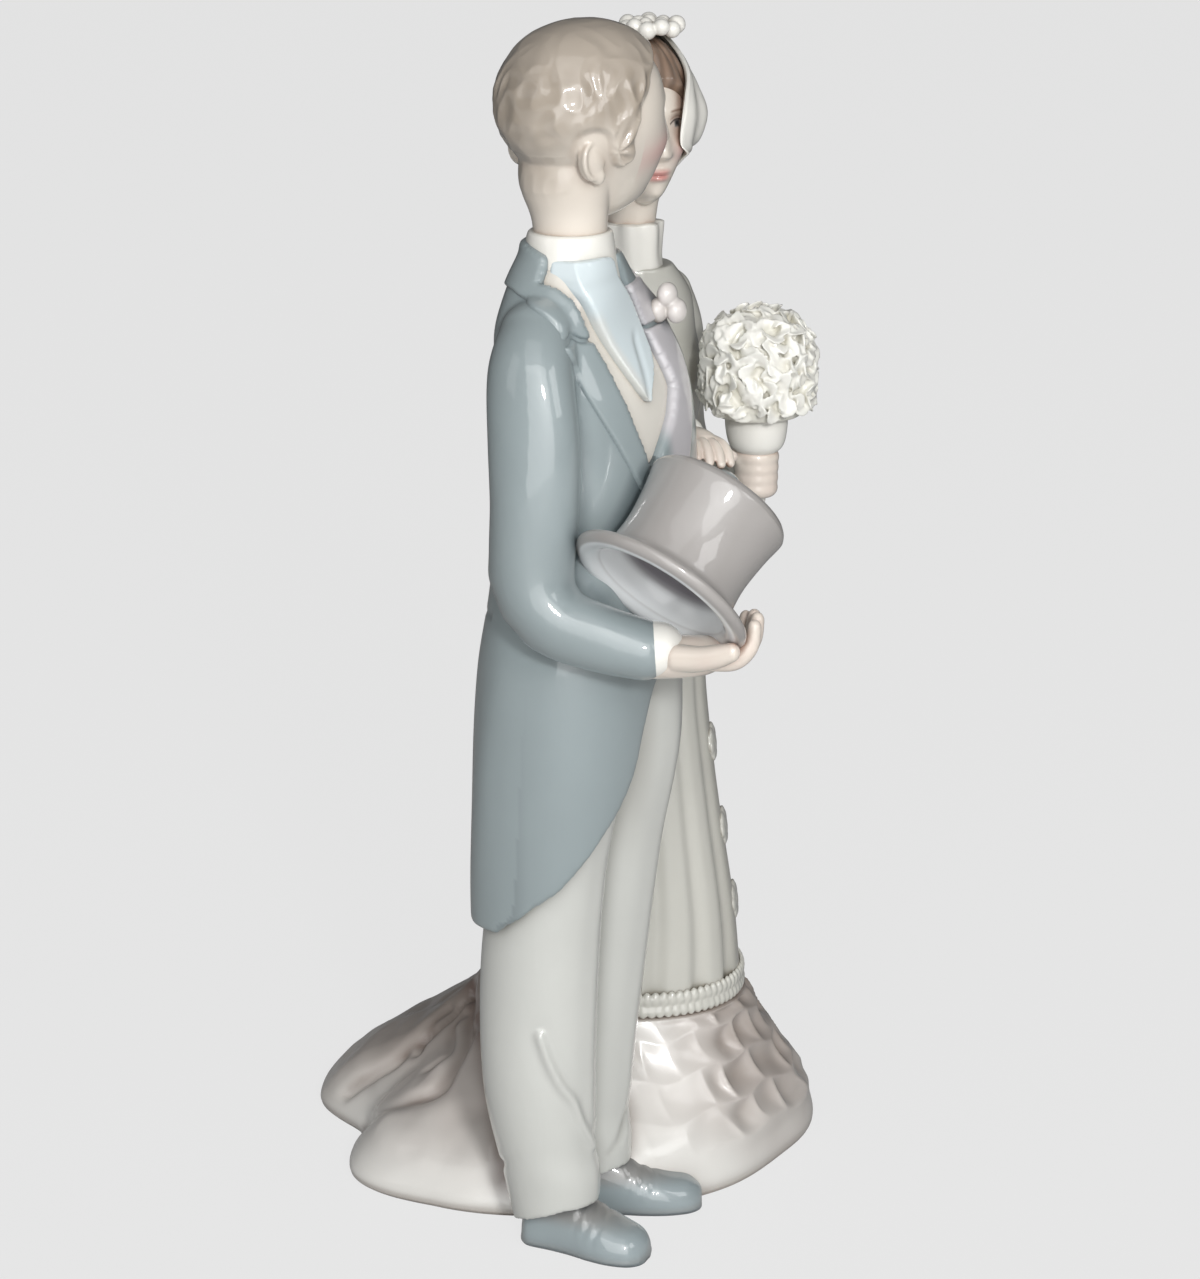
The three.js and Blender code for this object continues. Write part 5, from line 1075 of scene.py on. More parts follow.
class PORCELAIN_OT_groom_head(PorcelainPiece, Operator):
    """Builds the groom's head, ears and neck, with short wavy hair that fades into the skin at the nape."""

    bl_idname = "porcelain.groom_head"
    bl_label = "Groom's head and hair"

    def partings(self, p):
        """0 along the ridge of each lock of hair, growing into the valleys between the locks."""
        warp = cloud(p, 5.0, 1)
        return np.abs(cloud(p * (1, 1, 0.8) + 0.8 * warp[:, None], 2.7, 2))

    def ear(self, way):
        x = way * (GROOM_HEAD_SIZE[1] - 1.7)
        rim = []
        for k in range(13):
            a = math.radians(-100 + 26 * k)
            rim.append([x + way * (0.3 + 0.3 * math.cos(a)), 5.0 + 1.75 * math.cos(a),
                        -3.1 + 2.6 * math.sin(a), 0.48 - 0.01 * k])
        shell = ball((x - way * 0.3, 4.9, -3.1), (1.1, 2.3, 3.1), 40, 25)
        lobe = ball((x - way * 0.15, 4.0, -5.6), (0.85, 1.2, 1.3), 24, 15)
        inner = ball((x - way * 0.05, 4.0, -3.4), (0.6, 0.9, 1.6), 24, 15)
        return merged(limb(rim, 20, 60, side=(1, 0, 0), cap=3), shell, lobe, inner)

    def build(self):
        place = head_place(*GROOM_HEAD)
        head = merged(head_form(GROOM_HEAD_SIZE, fore=0.13), self.ear(1), self.ear(-1))
        turned(head, place)
        neck = upright([[150, -2.5, 3.6, 5.4, 5.4], [160, -2.5, 3.6, 5.5, 5.5],
                        [165.6, -2.5, 4.2, 6.7, 6.7], [171, -0.6, 3.6, 8.2, 8.2]], 72, 40)
        head = fused(merged(head, neck), self.detail.face_grain * 1000, 10)
        p = local(coords(head), place)
        edge = above_line(p, GROOM_HAIRLINE, 0.55)
        fade = above_line(p, GROOM_HAIRLINE, 6.0)
        on_ear = ease(9.6, 10.1, np.abs(p[:, 0])) * bump(p[:, 1], 4.9, 3.2) * bump(p[:, 2], -4, 4)
        edge *= 1 - ease(0.2, 0.6, on_ear)
        nape = ease(4, -4, p[:, 2]) * ease(0, 5, p[:, 1])
        crown = ease(6, 13, p[:, 2])
        warp = cloud(p, 5.0, 1)
        flow = np.arctan2(p[:, 2] + 2, -p[:, 1] + 1.5)
        curls = np.sin(5.2 * flow + 3.2 * warp + 0.25 * p[:, 0])
        curls = curls * np.cos(0.42 * np.hypot(p[:, 1], p[:, 2]) + 2.4 * warp)
        locks = 0.5 - 2.4 * self.partings(p)
        brow = bump(p[:, 1], -4.4, 4) * ease(14, 6, p[:, 2])
        waves = (0.26 * curls + (0.26 + 0.26 * brow) * locks) * (1 - 0.8 * crown) * (1 - 0.5 * nape)
        proud = 1.35 * (1 - 0.7 * nape)
        outer = edge * (proud + waves) * (1 - nape * (1 - fade**2))
        way = p / np.linalg.norm(p, axis=1, keepdims=True)
        spots = coords(head) + (way @ np.array(place)[:3, :3].T) * outer[:, None]
        set_coords(head, spots)
        head = with_steps(head, [("SMOOTH", {"factor": 0.5, "iterations": 2})])
        refined(head, eye_zone(place, GROOM_HEAD_SIZE), 2)
        p = local(coords(head), place)
        fade = above_line(p, GROOM_HAIRLINE, 0.9)
        soft = above_line(p, GROOM_HAIRLINE, 6.5)
        low = ease(7, -3, p[:, 2]) * ease(-2, 3, p[:, 1])
        cover = fade * (1 - low) + soft * low * 0.85
        on_ear = ease(9.4, 10.3, np.abs(p[:, 0])) * bump(p[:, 1], 5.2, 2.9) * bump(p[:, 2], -4.3, 4)
        cover *= 1 - ease(0.15, 0.5, on_ear)
        # Painted shade: the hair darker in the valleys between the locks and a little darker towards the back
        # of the head.
        valley = ease(0.1, 0.34, self.partings(p)) * (1 - ease(8, 12, p[:, 2]))
        hair = blend(self.tone("groom_hair"), self.tone("groom_hair") * (0.78, 0.74, 0.68), 0.5 * valley)
        hair = blend(hair, hair * 0.6, 0.1 * ease(7, 12, p[:, 1]))
        skin_tone = self.tone("skin")
        colours = face_paint(self, np.broadcast_to(skin_tone, p.shape), p, GROOM_HEAD_SIZE, 0.45)
        colours = blend(colours, hair, 0.92 * cover)
        material = glaze("groom head glaze", (168, 138, 118), 0.0024, 0.8, 0.4)
        show("groom head", head, material, ["groom_head", "groom_hair"], colours)


class PORCELAIN_OT_buttonhole(PorcelainPiece, Operator):
    """Builds the three-petalled white flower in the groom's buttonhole."""

    bl_idname = "porcelain.buttonhole"
    bl_label = "Buttonhole flower"

    MIDDLE = Vector((7.8, -7.2, 147.2))

    def build(self):
        petals = []
        axis = Vector((0.9, 0.4, 0)).normalized()
        for degrees in (0, 120, 240):
            step = Matrix.Rotation(math.radians(degrees), 3, axis) @ Vector((0, 0, 1.6))
            petals.append(ball(self.MIDDLE + step, (1.9, 1.5, 1.9), 32, 21))
        flower = fused(merged(*petals), 0.16, 8)
        material = glaze("buttonhole glaze", (150, 140, 126), 0.002, 0.8)
        show("buttonhole flower", flower, material, ["groom_buttonhole_flower"],
             self.tone("linen") * (0.8, 0.77, 0.79))


# Bride


BODICE_ROWS = [
    [105, 33, 9.5, 8.8, 8],
    [111, 33, 9.5, 8, 7.3],
    [121, 32.8, 8.9, 8.8, 8],
    [130, 32.2, 8.1, 9.8, 8.8],
    [137, 31, 8.3, 9.8, 8],
    [143.4, 30.4, 7.9, 8.8, 7],
    [148.6, 27.8, 7.9, 6, 5.6],
]
BRIDE_LEFT_SLEEVE = [
    [39.6, 8.5, 141.8, 4, 4.2],
    [42.8, 8.7, 135.4, 4.6, 4.8],
    [45, 9.3, 127, 4.2, 4.4],
    [46.4, 8.9, 118, 3.9, 4],
    [45.8, 5.1, 112.4, 3.6, 3.6],
    [41.8, -1.5, 114, 3.3, 3.3],
    [*BRIDE_LEFT_WRIST, 3, 3],
]
BRIDE_RIGHT_SLEEVE = [
    [24, 8.1, 139.6, 3.6, 3.8],
    [22, 7.9, 134.4, 4.2, 4.4],
    [22.6, 7.5, 127, 3.9, 4],
    [23.6, 4.5, 122, 3.6, 3.6],
    [*BRIDE_RIGHT_WRIST, 3, 3],
]


class PORCELAIN_OT_bodice(PorcelainPiece, Operator):
    """Builds the bodice with both sleeves, the gathered collar and the bride's cuffs."""

    bl_idname = "porcelain.bodice"
    bl_label = "Bodice, sleeves and collar"

    def folds(self, angle, t):
        drape = 0.14 * np.sin(4 * angle + 10 * t) * ease(0.05, 0.3, t)
        return drape + 0.3 * bump(t, 0.62, 0.03) * np.cos(angle)

    def build(self):
        body = upright(BODICE_ROWS, 96, 70, fold=lambda a, t: 0.22 * np.cos(18 * a) * ease(0.35, 0.05, t))
        left = limb(BRIDE_LEFT_SLEEVE, 56, 80, fold=self.folds)
        right = limb(BRIDE_RIGHT_SLEEVE, 56, 70, fold=self.folds)
        top = fused(merged(body, left, right), 0.34, 5)
        cloth = glaze("bodice glaze", (150, 138, 122), 0.003, 0.8)
        nodes = ("bride_bodice", "bride_left_sleeve", "bride_right_sleeve")
        show("bodice and sleeves", top, cloth, nodes, self.tone("gown"))
        rows = [[146, 27.1, 7.9, 5.2, 5], [150, 26.3, 7.9, 4.6, 4.6], [154.8, 25.95, 7.75, 4.75, 4.75],
                [155.5, 25.9, 7.7, 4.5, 4.5], [155.7, 25.9, 7.7, 3.9, 3.9]]
        collar = upright(rows, 144, 40, fold=lambda a, t: 0.55 * t * np.cos(7 * a + 1.2 * t))
        linen = glaze("bride linen glaze", (150, 148, 140), 0.002, 0.8)
        show("bride collar", collar, linen, ["bride_collar"], self.tone("linen"))
        for name, wrist, aim in (
            ("left", BRIDE_LEFT_WRIST, (FIST - BRIDE_LEFT_WRIST).normalized()),
            ("right", BRIDE_RIGHT_WRIST, (ON_SLEEVE - BRIDE_RIGHT_WRIST).normalized()),
        ):
            band = cuff(wrist, aim, 2.9, 1.6)
            show(f"bride {name} cuff", band, linen, [f"bride_{name}_cuff"], self.tone("linen"))


class PORCELAIN_OT_skirt(PorcelainPiece, Operator):
    """Builds the pleated upper skirt, the three rosettes on it and its double row of lace scallops."""

    bl_idname = "porcelain.skirt"
    bl_label = "Upper skirt, rosettes and lace"

    MIDDLE = (33, 12)
    ROSETTE_SIDE = -69
    ROSETTE_RADIUS = 3.2

    def pleat(self, angle, t):
        lean = angle * self.detail.pleats + 0.5 * np.sin(3 * angle)
        valley = (0.5 - 0.5 * np.cos(lean)) ** 2.2
        return (1 - t) ** 1.1 * (0.38 - 0.9 * valley) * ease(1.05, 0.9, t)

    def lace(self):
        z, x, y, wide, deep = SKIRT_ROWS[0]
        beads = self.detail.lace_beads
        made = bmesh.new()
        section = [(0.2, 0.0), (1.1, 0.05), (1.75, 0.45), (1.9, 1.0), (1.55, 1.6), (1.35, 2.0), (1.6, 2.5),
                   (1.75, 3.0), (1.5, 3.6), (0.9, 4.0), (0.2, 4.1)]
        line = [made.verts.new((1 + 0.01 * out, 0, high)) for out, high in smooth_line(section, 26)]
        edges = [made.edges.new((a, b)) for a, b in zip(line, [*line[1:], line[0]])]
        bmesh.ops.spin(made, geom=[*line, *edges], cent=(0, 0, 0), axis=(0, 0, 1), dvec=(0, 0, 0),
                       angle=TURN, steps=beads * 6, use_merge=True)
        bmesh.ops.remove_doubles(made, verts=made.verts, dist=0.00001)
        hoop = to_mesh(made)
        p = coords(hoop)
        angle = np.arctan2(p[:, 1], p[:, 0])
        out, high = (np.hypot(p[:, 0], p[:, 1]) - 1) * 100, p[:, 2]
        lower = np.abs(np.cos(angle * beads / 2))
        upper = np.abs(np.sin(angle * beads / 2))
        scallop = ease(2.4, 1.6, high) * lower + ease(1.6, 2.4, high) * upper
        wander = 0.6 + 0.4 * np.sin(7 * angle) * np.sin(19 * angle + 1)
        out = out * 0.5 + ease(0.5, 1.2, out) * wander * (0.24 * scallop - 0.2)
        rim = ease(3.0, 4.0, high) * (0.5 * upper - 0.3)
        foot = ease(0.8, 0.1, high) * (0.4 * lower - 0.25)
        high = high + rim - foot
        spots = [x + (wide + out) * np.cos(angle), y + (deep + out) * np.sin(angle), z + high]
        set_coords(hoop, np.stack(spots, 1))
        return hoop, scallop

    def rosette(self, degrees, rise, radius):
        z, x, y, wide, deep = along(SKIRT_ROWS, rise)
        angle = math.radians(degrees)
        spot = Vector((x + (wide - 0.5) * math.cos(angle), y + (deep - 0.5) * math.sin(angle), z))
        out = Vector((math.cos(angle), math.sin(angle), 0.12)).normalized()
        turn = Vector((0, 0, 1)).rotation_difference(out)
        parts = [ball((0, 0, 0.1), (radius, radius, 1.25), 40, 25)]
        for k in range(7):
            way = Vector((math.cos(k * TURN / 7), math.sin(k * TURN / 7), 0))
            petal = ball((0, 0, 0), (radius * 0.52, radius * 0.46, 0.5), 24, 15)
            matrix = Matrix.Translation(way * radius * 0.52 + Vector((0, 0, 0.7)))
            parts.append(turned(petal, matrix @ Matrix.Rotation(k * TURN / 7, 4, "Z")))
        made = turned(merged(*parts), Matrix.Translation(spot) @ turn.to_matrix().to_4x4())
        return fused(made, 0.17, 4)

    def build(self):
        skirt = upright(SKIRT_ROWS, self.detail.pleats * 24, 110, fold=self.pleat)
        p = coords(skirt)
        cloth = glaze("skirt glaze", (150, 140, 124), 0.0035, 0.85)
        side = np.degrees(np.arctan2(p[:, 1] - self.MIDDLE[1], p[:, 0] - self.MIDDLE[0]))
        # Painted shade: a brown grey wash down the skirt's side at the rosettes and towards the waist.
        share = 0.7 * bump(side, -66, 20) + 0.3 * ease(100, 112, p[:, 2])
        tint = blend(self.tone("gown"), linear(150, 146, 134), share)
        show("upper skirt", skirt, cloth, ["bride_upper_skirt"], tint)
        hoop, scallop = self.lace()
        linen = glaze("lace glaze", (180, 170, 156), 0.0012, 0.6)
        # Painted light and shade: the lace lighter on its raised scallops, darker between them.
        tint = blend(self.tone("gown") * 0.98, self.tone("gown") * 1.06, ease(0.1, 0.7, scallop))
        show("lace edge", hoop, linen, ["bride_lace_edge"], tint)
        for k, rise in enumerate((0.42, 0.29, 0.17)):
            made = self.rosette(self.ROSETTE_SIDE, rise, self.ROSETTE_RADIUS)
            nodes = [f"bride_skirt_rosette_{k + 1}"]
            show(f"rosette {k + 1}", made, cloth, nodes, self.tone("gown"))


HEM_REACH = [(0, 31), (30, 34), (58, 43), (84, 50), (110, 50), (126, 42.5), (146, 48), (165, 43.5),
             (190, 37.5), (220, 33), (245, 31.5), (270, 31), (300, 34), (330, 31.5)]
TIER_ROWS = [(0, 0.03), (0.9, 0.0), (3, 0.005), (8.08, 0.12), (10.85, 0.24), (13.4, 0.38),
             (15.94, 0.52), (18.48, 0.66), (21.02, 0.78), (23.33, 0.88), (26.1, 1.0)]


class PORCELAIN_OT_flounce(PorcelainPiece, Operator):
    """Builds the flounce in staggered tiers of scooped gathers and the train with its deep furrows."""

    bl_idname = "porcelain.flounce"
    bl_label = "Flounce and train"

    # Each furrow's depth and width, and the line that it follows
    FURROWS = [
        (1.6, 1.7, [(24, 38.1, 23.2), (18.7, 35.8, 19.8), (11.5, 33.4, 18.3), (6.6, 33, 15.9),
                    (2, 33.6, 13), (0.6, 38, 9.6), (2, 43, 5.4), (6, 48, 2)]),
        (1.1, 1.5, [(24, 39.3, 22.4), (18.1, 43.2, 16.3), (16.7, 46.3, 12.5), (13.4, 48.3, 11.2),
                    (12.3, 52.7, 7.1), (11.6, 54.5, 5.2)]),
        (0.7, 1.2, [(22.6, 43.4, 19), (20, 45, 16), (14.6, 44.6, 13.6)]),
        (0.6, 1.2, [(19.8, 38.7, 20.2), (17, 38.9, 17.4), (10.4, 36.4, 16.4), (8, 38, 13.4)]),
        (0.8, 2.4, [(30, 38, 24), (30, 50, 14), (34, 60, 6)]),
        (0.7, 2.2, [(40, 36, 24), (44, 46, 13), (47, 52, 6)]),
    ]
    LEG_SHADE = [(25.8, 38.9, 22.3), (13, 30.7, 20.8), (4.1, 23.6, 16.9), (-2.3, 17.9, 12), (-6.3, 13.8, 5.8)]
    FIRST_TIER = 7.1
    TIER_RISE = 5.5
    MIDDLE = (32, 14)
    WAIST_MIDDLE = (33.6, 14.5)
    WAIST_REACH = (18.6, 22.6)

    def hem_reach(self, angle):
        at = np.array([a for a, _ in HEM_REACH] + [360], float)
        reach = np.array([r for _, r in HEM_REACH])
        degrees = np.degrees(angle) % 360
        i = np.searchsorted(at, degrees, side="right") - 1
        f = (degrees - at[i]) / (at[i + 1] - at[i])
        a, b, c, d = (reach[(i + k) % len(reach)] for k in (-1, 0, 1, 2))
        return spline(a, b, c, d, f)

    def sunk(self, angle, z):
        """How far the slope of the train is hollowed inward, in millimetres."""
        degrees = np.degrees(angle) % 360
        train = ease(64, 92, degrees) * ease(236, 200, degrees)
        rows = np.array(TIER_ROWS)
        share = np.interp(z, rows[:, 0], rows[:, 1])
        return 0.1 * (self.hem_reach(angle) - 20) * np.sin(math.pi * share) * train * ease(0, 6, z)

    def boldness(self, angle):
        """How strongly the scoops stand out: full at the front, faint by the groom and on the train."""
        degrees = np.degrees(angle) % 360
        return 0.16 + 0.84 * (ease(226, 258, degrees) + ease(80, 56, degrees))

    def scoop(self, angle, z):
        """Depth from 0 to 1 inside the scoops: rows of hollows, each row shifted by half a scoop."""
        lift = (z - self.FIRST_TIER) / self.TIER_RISE
        lift = lift + 0.1 * np.sin(5 * angle + 1) + 0.08 * np.sin(13 * angle)
        row = np.floor(lift)
        up = lift - row
        turn = angle / TURN * self.detail.gathers + 0.5 * (row % 2) - 0.34 * (1 - up) ** 2
        turn = turn + 0.16 * np.sin(3.1 * row + 8 * angle) + 0.1 * np.sin(2.3 * row + 17 * angle)
        side = 2 * (turn - np.floor(turn)) - 1
        strength = 0.75 + 0.25 * np.sin(5.3 * row + 9 * angle)
        within = np.where((lift > 0) & (lift < self.detail.tiers), 1.0, 0.0)
        return within * strength * (1 - side**2) * np.sin(math.pi * up) ** 0.9

    def build(self):
        sides, levels = 600, 130
        z, share = (c[:, None] for c in along(TIER_ROWS, np.linspace(0, 1, levels)).T)
        angle = (np.arange(sides) / sides * TURN)[None, :]
        way = np.stack([np.cos(angle), np.sin(angle)], -1)
        hem = np.array(self.MIDDLE) + way * self.hem_reach(angle)[..., None]
        waist = 1 / np.hypot(way[..., 0] / self.WAIST_REACH[0], way[..., 1] / self.WAIST_REACH[1])
        top = np.array(self.WAIST_MIDDLE) + way * waist[..., None]
        flat = hem * (1 - share[..., None]) + top * share[..., None]
        height = np.broadcast_to(z, flat.shape[:2])
        inside = ease(4.5, 8, z) * ease(26.1, 25.2, z)
        hollow = self.scoop(angle, z)
        gather = self.boldness(angle) * inside * (0.5 - 1.75 * hollow)
        spots = np.concatenate([flat, height[..., None]], -1)
        furrow = sum(deep * beside(spots, line, wide) for deep, wide, line in self.FURROWS)
        furrow = furrow * ease(0.5, 4, z) * ease(26, 23.5, z)
        swell = gather - 0.9 * furrow
        spots[..., :2] += way * swell[..., None]
        spots[..., 2] += np.where(z > 3.5, 0.2 * gather, 0) - 1.1 * furrow * ease(2, 7, z)
        spots[..., :2] -= way * self.sunk(angle, height)[..., None]
        mesh = skin(spots)
        p = coords(mesh)
        dents = cloud(p, 5.5, 8)
        turn = np.arctan2(p[:, 1] - self.MIDDLE[1], p[:, 0] - self.MIDDLE[0]) % TURN
        p[:, :2] += np.stack([np.cos(turn), np.sin(turn)], 1) * self.sunk(turn, p[:, 2])[:, None]
        degrees = np.degrees(turn)
        train = ease(64, 90, degrees) * ease(236, 205, degrees)
        push(mesh, 0.5 * dents * ease(4, 8, p[:, 2]) * ease(25.6, 22, p[:, 2]) * (0.35 + 0.65 * train))
        tone, shade, white = self.tone("flounce"), self.tone("flounce_shade"), self.tone("hem")
        # Painted shade: brown grey in the scoops' hollows, from the front round the bride's side and at the
        # back of the train, more so higher up.
        painted_scoop_shade = self.scoop(turn, p[:, 2]) * self.boldness(turn) * ease(4.5, 8, p[:, 2])
        along_train = ease(92, 122, degrees) * ease(236, 196, degrees)
        front = ease(244, 292, degrees) + ease(70, 40, degrees)
        back = ease(150, 108, degrees) * ease(40, 70, degrees)
        high = ease(5, 22, p[:, 2])
        colour = blend(tone, shade, 0.6 * painted_scoop_shade + 0.5 * front * (0.35 + 0.65 * high) + 0.75 * back * high)
        # Painted shade: darker in the furrows.
        furrow = sum(min(deep, 1) * beside(p, line, wide * 0.8) for deep, wide, line in self.FURROWS)
        colour = blend(colour, linear(118, 99, 90), 0.7 * furrow)
        patch = 0.5 + 0.5 * dents
        pale = ease(14, 2, p[:, 2]) * (1 - 0.45 * patch) * (1 - 0.5 * front)
        pale = pale + 0.8 * bump(degrees, 222, 24) * (0.6 + 0.4 * patch)
        pale = pale + 0.4 * along_train * (1 - high) * patch
        colour = blend(colour, white, pale * (1 - 0.7 * furrow))
        # Painted shade: more brown grey at the back of the train, and a painted shadow beside the groom's
        # leg.
        colour = blend(colour, shade, 0.4 * ease(128, 106, degrees) * ease(60, 80, degrees))
        colour = blend(colour, linear(112, 92, 84), 0.8 * beside(p, self.LEG_SHADE, 2.4))
        material = glaze("flounce glaze", (150, 134, 122), 0.0035, 0.8, 0.42, 0.2)
        show("flounce and train", mesh, material, ["bride_flounce"], colour)


class PORCELAIN_OT_bride_head(PorcelainPiece, Operator):
    """Builds the bride's head and neck and her brown hair in fine strands."""

    bl_idname = "porcelain.bride_head"
    bl_label = "Bride's head and hair"

    def build(self):
        place = head_place(*BRIDE_HEAD)
        head = turned(head_form(BRIDE_HEAD_SIZE), place)
        neck = upright([[145, 26.9, 7.9, 3.8, 3.8], [155, 25.9, 7.9, 3.8, 3.8],
                        [167, 25.2, 6.5, 4.8, 4.8]], 64, 40)
        head = fused(merged(head, neck), self.detail.face_grain * 1000, 4)
        refined(head, eye_zone(place, BRIDE_HEAD_SIZE), 2)
        p = local(coords(head), place)
        colours = face_paint(self, np.broadcast_to(self.tone("skin"), p.shape), p, BRIDE_HEAD_SIZE, 0.8)
        material = glaze("bride head glaze", (176, 140, 122), 0.0022, 0.85, 0.4)
        show("bride head", head, material, ["bride_head"], colours)

        hair = head_form(BRIDE_HEAD_SIZE, 200, 150, face=False)
        p = coords(hair)
        cover = above_line(p, BRIDE_HAIRLINE, 0.5)
        angle = np.arctan2(p[:, 0], p[:, 1])
        strands = np.sin(26 * angle + 0.5 * p[:, 2]) * 0.5 + np.sin(11 * angle - 0.6 * p[:, 2])
        way = p / np.linalg.norm(p, axis=1, keepdims=True)
        lift = cover * (1.15 + 0.16 * strands) - 0.6 * (1 - cover)
        set_coords(hair, p + way * lift[:, None])
        tone = self.tone("bride_hair")
        tint = blend(tone, tone * 0.55, 0.5 + 0.4 * np.sin(26 * angle + 0.5 * p[:, 2]))
        turned(hair, place)
        material = glaze("bride hair glaze", (120, 100, 86), 0.002, 0.85)
        show("bride hair", hair, material, ["bride_hair"], tint)


VEIL_ROWS = [
    [72, 34, 15.5, 14.5, 12.5, 90, 58, 1.4],
    [88, 33.6, 14.1, 13.2, 11.2, 90, 62, 1.2],
    [104, 33, 12.9, 11.8, 10, 90, 66, 1],
    [120, 32.4, 11.9, 11.4, 9.8, 88, 70, 0.9],
    [134, 31.6, 10.9, 10.8, 9.8, 82, 72, 0.8],
    [145, 29.4, 9.9, 8, 8.4, 66, 72, 0.6],
    [154, 26.3, 7.9, 6, 7.2, 56, 70, 0.4],
    [161.5, 24.8, 6.3, 6.6, 8.4, 50, 76, 0.4],
    [165.4, 24.4, 5.7, 7.2, 8.4, 47, 104, 0.5],
    [168.4, 24.2, 5.5, 9, 10, 46, 136, 0.6],
    [172.6, 24.2, 5.5, 10.1, 11, 46, 142, 0.6],
    [176.4, 24.2, 5.5, 8.9, 10.2, 46, 130, 0.5],
    [180, 24.2, 5.5, 7.4, 9, 46, 108, 0.35],
    [183.6, 24.6, 5.9, 5, 6.6, 46, 90, 0.1],
    [185, 25, 6.3, 3.4, 4.4, 46, 84, 0],
]


class PORCELAIN_OT_veil(PorcelainPiece, Operator):
    """Builds the folded veil and the wreath of round buds that holds it."""

    bl_idname = "porcelain.veil"
    bl_label = "Veil and wreath"

    def build(self):
        levels, strips = 150, 150
        rings = []
        way = np.linspace(-1, 1, strips + 1)
        rim = 0.42 * np.sqrt(np.clip(1 - ((np.abs(way) - 0.985) / 0.015).clip(0, 1) ** 2, 0, 1))
        for row in along(VEIL_ROWS, np.linspace(0, 1, levels)):
            z, x, y, wide, deep, back, spread, folds = row
            far = 18 * ease(165, 169, z) * ease(186, 180, z) * np.maximum(0, -way) ** 2
            angle = np.radians(way * spread - far)
            pleat = folds * np.cos(way * math.pi * 3.5) + 0.35 * folds * np.cos(way * math.pi * 11)
            arcs = []
            for inset, flip in ((0.2 + 0.4 - rim, 1), (0.2 + 0.4 + rim, -1)):
                back_way = (deep + pleat - inset) * np.cos(angle)
                side_way = (wide + pleat - inset) * np.sin(angle)
                out = np.stack([back_way, side_way], -1)
                turn = math.radians(back)
                spun = np.stack([x + out[:, 0] * math.cos(turn) - out[:, 1] * math.sin(turn),
                                 y + out[:, 0] * math.sin(turn) + out[:, 1] * math.cos(turn),
                                 np.full(len(way), z)], -1)
                arcs.append(spun[::flip])
            rings.append(np.concatenate(arcs))
        veil = skin(rings)
        material = glaze("veil glaze", (160, 152, 140), 0.003, 0.8)
        show("veil", veil, material, ["bride_veil"], self.tone("linen") * 0.97)

        middle = Vector((25.1, 4.1, 185))
        count = self.detail.wreath_buds
        buds = []
        for k in range(count):
            angle = k / count * TURN
            spot = middle + Vector((math.cos(angle) * 3.75, math.sin(angle) * 3.75, 0.3 + 0.5 * (k % 2)))
            buds.append(ball(spot, 1.32 + 0.08 * math.sin(k * 2.3), 28, 19))
        for k in range(5):
            angle = (k + 0.5) / 5 * TURN
            spot = middle + Vector((math.cos(angle) * 2.0, math.sin(angle) * 2.0, 0.9))
            buds.append(ball(spot, 1.2, 24, 15))
        wreath = fused(merged(*buds), 0.15, 2)
        material = glaze("wreath glaze", (150, 138, 120), 0.0012, 0.9)
        show("flower wreath", wreath, material, ["bride_flower_wreath"], self.tone("linen"))


